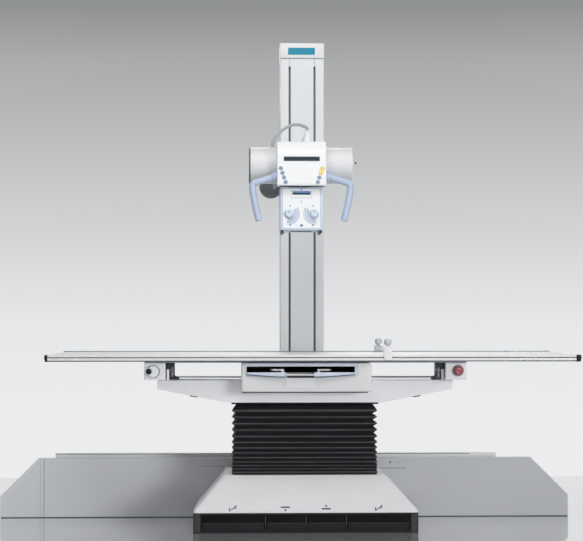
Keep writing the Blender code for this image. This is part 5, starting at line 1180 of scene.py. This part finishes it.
def rail_clamps():
    """Two sliding clamps: a hooked block over the rail and a lobed ball grip on top."""
    for side, name, look, sunk in ((1, "front", CAP_WHITE, 0.0), (-1, "rear", CLAMP_GREY, 0.010)):
        low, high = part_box(f"rail_clamp_{name}")
        top = high[2] - sunk
        rail_low, rail_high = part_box(f"{name}_rail")
        outer, inner = (low[1], high[1])[::side]
        face = (rail_low[1], rail_high[1])[::side][0] - side * 0.0003
        seat = rail_high[2] + 0.0003
        shoulder = seat + 0.5 * (top - seat)
        profile = [(outer, low[2]), (face, low[2]), (face, seat), (inner, seat), (inner, shoulder),
                   (face + (inner - face) * 0.6, top), (outer, top)]
        radii = (0.002, 0.0015, 0.001, 0.003, 0.006, 0.006, 0.006)
        shape = extruded(filleted(profile, radii, 4), X, low[0], high[0], 0.0009)
        piece(f"clamp_block_{name}", shape, look, f"rail_clamp_{name}", f"rail_clamp_{name}", slot="clamp_grey")
        clamp_grip(f"clamp_knob_{name}", name, top + 0.0003)


def clamp_grip(node, name, seat):
    """Ball grip on its seat: a turned profile whose radius dips six times round, above the neck."""
    low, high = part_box(node)
    centre = middle_of(node, X, Y)
    size = ((high[0] - low[0]) / 2, high[2] - low[2])
    outline = np.array([(0.40, 0.0), (0.46, 0.10), (0.82, 0.22), (1.0, 0.46), (0.98, 0.64), (0.80, 0.86),
                        (0.45, 0.985), (0.06, 1.0)])
    points, faces = turned(filleted(outline * size + (0.0, seat), 0.0028, 5, False), centre, Z, 60)
    dip_in(points, X, Y, centre, 6, 0.05, points[:, 2] > seat + 0.15 * size[1])
    piece(f"clamp_grip_{name}", (points, faces), CLAMP_GREY, node, node, slot="clamp_grey")


# ---- column and arm ----

SLOT_OFFSET, SLOT_HALF, SLOT_DEPTH, CROWN_HEIGHT = 0.063, 0.0053, 0.018, 0.044
BACK_SCREW_HEIGHTS, CAP_PLATE_HEIGHT = np.linspace(0.40, 2.20, 7), 2.3130


def column():
    """Slotted post, its lip rubbers, the cap with a bare plate, and the cover strip down the back."""
    low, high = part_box("column_post")
    middle = middle_of("column_post", X)[0]
    slot_top = high[2] - CROWN_HEIGHT
    slots = (middle - SLOT_OFFSET, middle + SLOT_OFFSET)
    corners, radii = [(low[0], low[1])], [0.004]
    for centre in slots:
        left, right, deep = centre - SLOT_HALF, centre + SLOT_HALF, low[1] + SLOT_DEPTH
        corners += [(left, low[1]), (left, deep), (right, deep), (right, low[1])]
        radii += [0.0012, 0.0006, 0.0006, 0.0012]
    corners += [(high[0], low[1]), (high[0], high[1]), (low[0], high[1])]
    radii += [0.004, 0.004, 0.004]
    tall = extruded(filleted(corners, radii, 5), Z, low[2], slot_top)
    crown = extruded(rounded_rectangle((low[0], high[0]), (low[1], high[1]), 0.0028, 5), Z, slot_top, high[2])
    piece("column_profile", together(tall, crown), COLUMN_GREY, "column", "column_post", slot="white_enamel")

    channel = np.array([(-0.0052, 0.0004), (-0.0047, 0.0004), (-0.0047, 0.0172), (0.0047, 0.0172),
                        (0.0047, 0.0004), (0.0052, 0.0004), (0.0052, 0.0179), (-0.0052, 0.0179)])
    lips = [extruded(channel + (centre, low[1]), Z, low[2] + 0.004, slot_top - 0.0004) for centre in slots]
    piece("slot_lips", together(*lips), SLOT_LIP, "column")
    for name, half, out, foot, top, look in (
            ("slot_scribes", 0.0014, 0.0002, slot_top, high[2], RING_GREY),
            ("slot_marks", 0.0062, 0.0003, slot_top - 0.0030, slot_top + 0.0012, DARK_STEEL)):
        lines = [block((centre - half, low[1] - out, foot), (centre + half, low[1] + 0.001, top),
                       0.0005, 0.0002, Z, 2) for centre in slots]
        piece(name, together(*lines), look, "column")
    strip = block((middle - 0.070, high[1] - 0.001, low[2] + 0.03),
                  (middle + 0.070, high[1] + 0.0025, high[2] - 0.03), 0.002, 0.0012, Y)
    screws = [bar(0.004, high[1] + 0.0020, high[1] + 0.0035, (middle, z), Y, 0.0006, 16)
              for z in BACK_SCREW_HEIGHTS]
    piece("column_back_strip", strip, WHITE, "column")
    piece("column_back_screws", together(*screws), STEEL, "column")
    low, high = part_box("column_cap")
    shell = block(low, high, 0.004, 0.0022)
    piece("column_cap_shell", shell, CAP_WHITE, "column", "column_cap", slot="white_enamel")
    under = rounded_rectangle((low[0] + 0.003, high[0] - 0.003), (-0.0016, 0.0026), 0.0005, 2)
    stuck_on("cap_seam", [under], (0.0, low[1] + 0.0002, low[2] - 0.0002), SEAM_PALE, "column", 0.0008)
    plate = rounded_rectangle((-0.0680, 0.0680), (-0.0180, 0.0174), 0.002, 4)
    stuck_on("cap_plate", [plate], (middle - 0.003, low[1], CAP_PLATE_HEIGHT), TEAL, "column", 0.0008)


def arm():
    """Carriage in the slots, boom with its drum ear, and the turned brake drum with its small lever."""
    carried_over("arm_carriage", "arm_carriage_block", WHITE, "arm", 0.002)
    carried_over("arm_boom", "arm_boom_tube", WHITE, "arm", 0.001)
    low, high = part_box("brake_drum")
    x, z = centre = middle_of("brake_drum", X, Z)
    radius = (high[0] - low[0]) / 2
    profile = [(0.1 * radius, low[1] + 0.004), (0.5 * radius, low[1] + 0.004), (0.6 * radius, low[1]),
               (0.93 * radius, low[1]), (radius, low[1] + 0.006), (radius, high[1]), (0.1 * radius, high[1])]
    shape = turned(filleted(profile, (0, 0.002, 0.002, 0.003, 0.003, 0.001, 0), 4, False), centre, Y, 72)
    piece("brake_drum_shell", shape, GREY, "arm", "brake_drum", slot="drum_grey")
    lever = block((x + 0.010, low[1] - 0.004, z - 0.012), (x + 0.026, low[1] + 0.004, z + 0.040), 0.003,
                  0.001, Y)
    piece("brake_lever", lever, CLAMP_GREY, "arm")


# ---- head ----

TUBE_HEIGHT, PORT_TOP, GLAND_FOOT, STUB_HEIGHT, CAP_SCREW_REACH = 1.680, 1.63, 1.74, 1.6943, 0.066
PANEL_BREAK_HEIGHT, DISPLAY_HEIGHT, HANDLE_HEIGHT, PANEL_BORE = 1.7356, 1.6997, 1.6177, 0.0857
FALLING_KEYS, YELLOW_KEYS = (2, 4, 8), (5, 6)
CASE_HEIGHT = 0.1995
# inner and outer radius of the arcs round each field knob
KNOB_BANDS = ((0.0262, 0.0286), (0.0335, 0.0357), (0.0408, 0.0428), (0.0480, 0.0498))


def tube():
    """Tube housing with port and gland, end caps with the left one painted dark as shade, and the bracket and boot
    behind it.
    """
    low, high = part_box("tube_housing")
    radius = high[1]
    axis = (0.0, TUBE_HEIGHT)
    shell = turned(filleted(rod(0.02, radius, low[0], high[0]), 0.0008, 3, False), axis, X, 96)
    middle = middle_of("tube_housing", X)[0]
    port = turned(filleted(rod(0.01, 0.058, low[2], PORT_TOP), 0.002, 4, False), (middle, 0.0), Z)
    gland = turned(filleted(rod(0.004, 0.0125, GLAND_FOOT, high[2]), 0.001, 3, False), CABLE_ROUTE[0][:2], Z, 32)
    piece("tube_shell", together(shell, port, gland), TUBE_WHITE, "head", "tube_housing", slot="cover_alloy")
    # the end caps are shaded and lit copies: the left one painted dark as shade, the right one in lighter cap
    # white
    for (side, name), look, thick in zip(SIDES, (SEAM_AND_SHADE, CAP_WHITE), (0.0065, 0.0030)):
        low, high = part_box(f"tube_cap_{name}")
        near = (low[0], high[0])[::side][0]
        far = near + side * thick
        disc = turned(filleted(rod(0.02, radius, near, far), (0, 0.0006, 0.004, 0), 6, False), axis, X, 96)
        piece(f"tube_end_{name}", disc, look, "head", f"tube_cap_{name}", slot="cover_alloy")
        ends = sorted((far - side * 0.0005, far + side * 0.0016))
        turn = np.linspace(0.0, 2 * PI, 6, endpoint=False) + 0.3
        screws = [bar(0.0035, *ends, (CAP_SCREW_REACH * c, TUBE_HEIGHT + CAP_SCREW_REACH * s), X, 0.0005, 12)
                  for c, s in zip(np.cos(turn), np.sin(turn))]
        piece(f"tube_end_screws_{name}", together(*screws), STEEL, "head")
    tip, place = high[0] - 0.0075, (0.0, STUB_HEIGHT)
    piece("tube_stub", bar(0.0035, far - 0.001, tip, place, X, 0.0005, 24), CAP_WHITE, "head")
    piece("tube_stub_tip", bar(0.0055, tip, high[0], place, X, 0.0015, 24), SEAM_AND_SHADE_DARK, "head")
    carried_over("tube_bracket", "tube_bracket_arm", WHITE, "head", 0.0008)


def control_panel():
    """Panel shell with soft corners over the tube, its keys, the display and the yellow keys' backing."""
    low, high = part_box("control_panel")
    face, rear, bottom, top = low[1], high[1], low[2], high[2]
    profile = [(face, bottom), (rear, bottom), (rear, top), (face + 0.040, top), (face, PANEL_BREAK_HEIGHT)]
    shell = extruded(filleted(profile, (0.011, 0.009, 0.009, 0.014, 0.016), 6), X, low[0], high[0], 0.005, 5)
    panel = piece("panel_shell", shell, PANEL_WHITE, "head", "control_panel", slot="pale_cover")
    cut(panel, turned(rod(0.02, PANEL_BORE, low[0] - 0.01, high[0] + 0.01), (0.0, TUBE_HEIGHT), X, 96))
    joint = block((low[0] + 0.010, face + 0.004, bottom - 0.0016),
                  (high[0] - 0.008, face + 0.030, bottom + 0.0006), 0.001, 0.0006, X, 2)
    piece("panel_joint", joint, SEAM_AND_SHADE_DARK, "head")
    places = [np.array(middle_of(f"key_{number}", X, Z)) for number in range(1, 9)]
    boxes = [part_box(f"key_{number}") for number in range(1, 9)]
    sizes = [(key_high[0] - key_low[0]) / 2 for key_low, key_high in boxes]
    cut(panel, together(*[bar(radius + 0.0004, face - 0.01, face + 0.0050, place, Y, 0.0002)
                          for place, radius in zip(places, sizes)]), SEAM_AND_SHADE)
    for number, (place, radius, (key_low, _)) in enumerate(zip(places, sizes, boxes), 1):
        panel_key(number, place, radius, key_low[1], face + 0.003)
    middle = middle_of("control_panel", X)[0]
    for name, half_x, half_z, out, look in (("display_frame", 0.0838, 0.0108, 0.0, RING_GREY),
                                            ("display_window", 0.0826, 0.0094, 0.0004, GLASS)):
        outline = rounded_rectangle((-half_x, half_x), (-half_z, half_z), 0.0015, 4)
        stuck_on(name, [outline], (middle, face - out, DISPLAY_HEIGHT), look, "head", 0.0004)
    start, end = [places[number - 1] for number in YELLOW_KEYS]
    reach = (end - start) * 0.18
    backing = stroke(start - reach, end + reach, 0.0215)
    stuck_on("yellow_backing", [backing], (0.0, face, 0.0), YELLOW, "head", 0.0006)


def panel_key(number, place, radius, front, back):
    """Key turned from a domed profile, and an arrow that points up or down on the grey ones."""
    node = f"key_{number}"
    warm = number in YELLOW_KEYS
    turn = np.linspace(0.15, PI / 2, 8)
    dome = np.stack([(radius - 0.0011) * np.sin(turn), front + 0.0009 * (1 - np.cos(turn))], -1)
    side = [dome[-1], (radius, front + 0.0022), (radius, back), (radius * 0.2, back)]
    shape = turned(np.concatenate([dome, filleted(side, 0.0004, 3, False)[1:]]), place, Y)
    look, slot = (YELLOW, "key_yellow") if warm else (KEY_GREY, "key_grey")
    piece(f"panel_key_{number}", shape, look, node, node, slot=slot)
    if not warm:
        down = -1.0 if number in FALLING_KEYS else 1.0
        icon = [stroke((0.0, -0.0035 * down), (0.0, 0.0010 * down), 0.0014),
                arrow_head((0.0, 0.0045 * down), (0.0, down), 0.0045)]
        stuck_on(f"key_mark_{number}", icon, (place[0], front + 0.0003, place[1]), PRINT, node)


def handles():
    """Bent grips: a straight run, a quadratic curve round the elbow and a slightly bowed leg, with collars."""
    panel_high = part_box("control_panel")[1]
    centre = middle_of("control_panel", X)[0]
    start = panel_high[0] - centre + 0.0003
    collar = start + 0.0165
    radius, soft = 0.0158, 0.005
    elbow, knee, foot = np.array([(0.2295, 1.5870), (0.2230, 1.5050), (0.1970, 1.4125)])
    leave = np.array([collar + 0.006, 1.6160])
    before = leave + (elbow - leave) * 0.85
    after = elbow + (-0.0010, -0.020)
    share = np.linspace(0.0, 1.0, 14)[:, None]
    bend, leg = bowed(before, elbow, after, share), bowed(after, knee, foot, share[1:])
    flat = np.concatenate([[leave, leave * 0.5 + before * 0.5], bend, leg])
    turn = np.linspace(0.0, PI / 2, 6)
    for side, name in SIDES:
        y = middle_of(f"handle_{name}", Y)[0]
        axis = (y, HANDLE_HEIGHT)
        path = np.stack([centre + side * flat[:, 0], np.full(len(flat), y), flat[:, 1]], -1)
        end = (path[-1] - path[-2]) / np.linalg.norm(path[-1] - path[-2])
        tip = path[-1] - end * soft + end * (soft * np.sin(turn)[:, None])
        radii = np.concatenate([np.full(len(path) - 1, radius), radius - soft * (1 - np.cos(turn))])
        grip = swept(np.concatenate([path[:-1], tip]), radii, 36)
        profile = filleted([(0.006, start), (0.0235, start), (0.0235, collar - 0.002), (0.0200, collar + 0.001),
                            (0.0172, collar + 0.009), (0.006, collar + 0.009)],
                           (0, 0.0015, 0.002, 0.002, 0.001, 0), 4, False)
        profile[:, 1] = centre + side * profile[:, 1]
        boss = turned(profile, axis, X, 48)
        piece(f"handle_grip_{name}", together(grip, boss), HANDLE, "head", f"handle_{name}", slot="handle_blue")
        rings = [turned(rod(0.010, r, centre + side * x, centre + side * (x + 0.0016)), axis, X, 48)
                 for x, r in ((collar - 0.0006, 0.0223), (start + 0.0030, 0.0238))]
        piece(f"handle_rings_{name}", together(*rings), HANDLE_SEAM, "head")


def collimator():
    """Case with its opening below, accessory rails, the framed front plate, and what stands on it."""
    low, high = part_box("collimator_box")
    face, top, bottom = low[1], high[2], high[2] - CASE_HEIGHT
    middle = middle_of("collimator_box", X)[0]
    shape = block((low[0], low[1], bottom), high, 0.006, 0.003)
    case = piece("collimator_case", shape, PALE_BLUE, "collimator", "collimator_box", slot="cover_alloy")
    opening = block((middle - 0.050, -0.036, bottom - 0.01), (middle + 0.050, 0.036, bottom + 0.05), 0.003, 0.001)
    # the opening's cut walls are painted dark as shade
    cut(case, opening, RECESS_SHADE)
    rails = []
    for side, _ in SIDES:
        outer = middle + side * 0.0956
        step, inner = outer - side * 0.010, outer - side * 0.014
        outline = [(outer, bottom + 0.002), (outer, low[2]), (inner, low[2]), (inner, low[2] + 0.003),
                   (step, low[2] + 0.003), (step, bottom + 0.002)]
        rails.append(extruded(outline, Y, low[1] + 0.008, high[1] - 0.008, 0.0005))
    piece("accessory_rails", together(*rails), DARK_STEEL, "collimator")
    plate = rounded_rectangle((-0.0895, 0.0895), (bottom + 0.0060, top - 0.0050), 0.003, 5)
    stuck_on("collimator_plate", [plate], (middle, face, 0.0), PANEL_WHITE, "collimator", 0.0004)
    face_prints((middle, face - 0.0004), bottom, top)
    screw = bar(0.0050, face - 0.0035, face + 0.001, (middle, top - 0.0115), Y, 0.001, 24)
    piece("centre_screw", screw, RING_GREY, "collimator")
    for name in ("left", "right"):
        field_knob(name, face)
    low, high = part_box("lamp_button")
    radius = (high[0] - low[0]) / 2
    profile = [(0.1 * radius, low[1] + 0.0002), (0.7 * radius, low[1] + 0.0004), (radius, low[1] + 0.0016),
               (radius, high[1]), (0.1 * radius, high[1])]
    switch = turned(filleted(profile, 0.0004, 3, False), middle_of("lamp_button", X, Z), Y, 40)
    piece("lamp_switch", switch, LAMP_BLUE, "lamp_button", "lamp_button", slot="key_grey")


def face_prints(place, bottom, top):
    """Window with its bar, and the printed frames, arcs, rays and dots round the two field knobs."""
    middle, front = place
    for name, half_x, half_z, drop, out, look in (("window_band", 0.0425, 0.0085, 0.0265, 0.0003, PRINT_BLUE),
                                                  ("window_bar", 0.0415, 0.0042, 0.0305, 0.0006, GLASS)):
        outline = rounded_rectangle((-half_x, half_x), (-half_z, half_z), 0.001, 3)
        stuck_on(name, [outline], (middle, front, top - drop), look, "collimator", out)
    x, high, low = 0.047, top - 0.0145, top - 0.0500
    frame_ends = (((-x, high), (-x, low)), ((x, high), (x, low)), ((-x, low), (x, low)))
    lines = [stroke(*ends, 0.0012) for ends in frame_ends]
    knob_x, knob_z = middle_of("collimator_knob_left", X, Z)
    knob_x = middle - knob_x
    for side, (first, last) in ((-1, (35.0, -100.0)), (1, (145.0, 280.0))):
        ticks = np.radians(np.linspace(first, last, 10))
        arcs = [ring_band(inner, outer, *sorted((first, last)), 28) for inner, outer in KNOB_BANDS]
        rays = [stroke(ray * 0.0255, ray * 0.0500, 0.0010) for ray in np.array([np.cos(ticks), np.sin(ticks)]).T]
        lines += [outline + (side * knob_x, knob_z) for outline in arcs + rays]
        lines += [round_sign(radius) + (side * (knob_x - 0.0065), knob_z + rise)
                  for radius, rise in ((0.0034, 0.0370), (0.0040, -0.0530))]
    lines.append(rounded_rectangle((-0.0012, 0.0012), (-0.0055, 0.0055), 0.0006, 2) + (0.0, top - 0.0680))
    x, low, high = 0.0885, bottom + 0.0070, top - 0.0060
    edge_ends = (((-x, low), (-x, high)), ((x, low), (x, high)), ((-x, low), (x, low)), ((-x, high), (x, high)))
    lines += [stroke(*ends, 0.0014) for ends in edge_ends]
    stuck_on("face_prints", lines, (middle, front, 0.0), PRINT_BLUE, "collimator", 0.0002)


def field_knob(name, face):
    """Fluted knob, a turned profile whose radius dips twelve times round at the grip, a dark disc set low behind
    it as painted shadow, and pointer.
    """
    node = f"collimator_knob_{name}"
    low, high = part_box(node)
    x, z = middle_of(node, X)[0], middle_of("collimator_knob_left", Z)[0]
    radius = (high[0] - low[0]) / 2
    profile = [(0.1 * radius, low[1] + 0.0010), (0.60 * radius, low[1] + 0.0010), (0.66 * radius, low[1]),
               (0.80 * radius, low[1]), (0.86 * radius, low[1] + 0.011), (radius, low[1] + 0.0135),
               (radius, high[1]), (0.1 * radius, high[1])]
    radii = (0, 0.0005, 0.0005, 0.0015, 0.001, 0.001, 0.0005, 0)
    points, faces = turned(filleted(profile, radii, 4, False), (x, z), Y, 72)
    dip_in(points, X, Z, (x, z), 12, 0.045, points[:, 1] < low[1] + 0.0105)
    # dark disc offset downwards behind the knob, so a crescent of painted shadow shows below it
    shadow_crescent = bar(0.0206, face - 0.0020, face, (x, z - 0.0018), Y, 0.0006)
    piece(f"field_knob_shadow_{name}", shadow_crescent, SEAM_AND_SHADE, "collimator")
    piece(f"field_knob_{name}", (points, faces), PALE_BLUE, node, node, slot="tray_blue")
    pointer = stroke((0.0, 0.004), (0.0, 0.0145), 0.0018)
    stuck_on(f"field_pointer_{name}", [pointer], (x, low[1] + 0.0004, z), PRINT, node, 0.0004)


camera()
cable()
lamps()
surroundings()
studio_floor()
kick_strip()
pedestal_cover()
bellows()
floor_housing()
table_beam()
end_boxes()
stop_button()
lock_knob()
tray_housing()
cassette_tray()
tabletop()
rail_clamps()
column()
arm()
tube()
control_panel()
handles()
collimator()
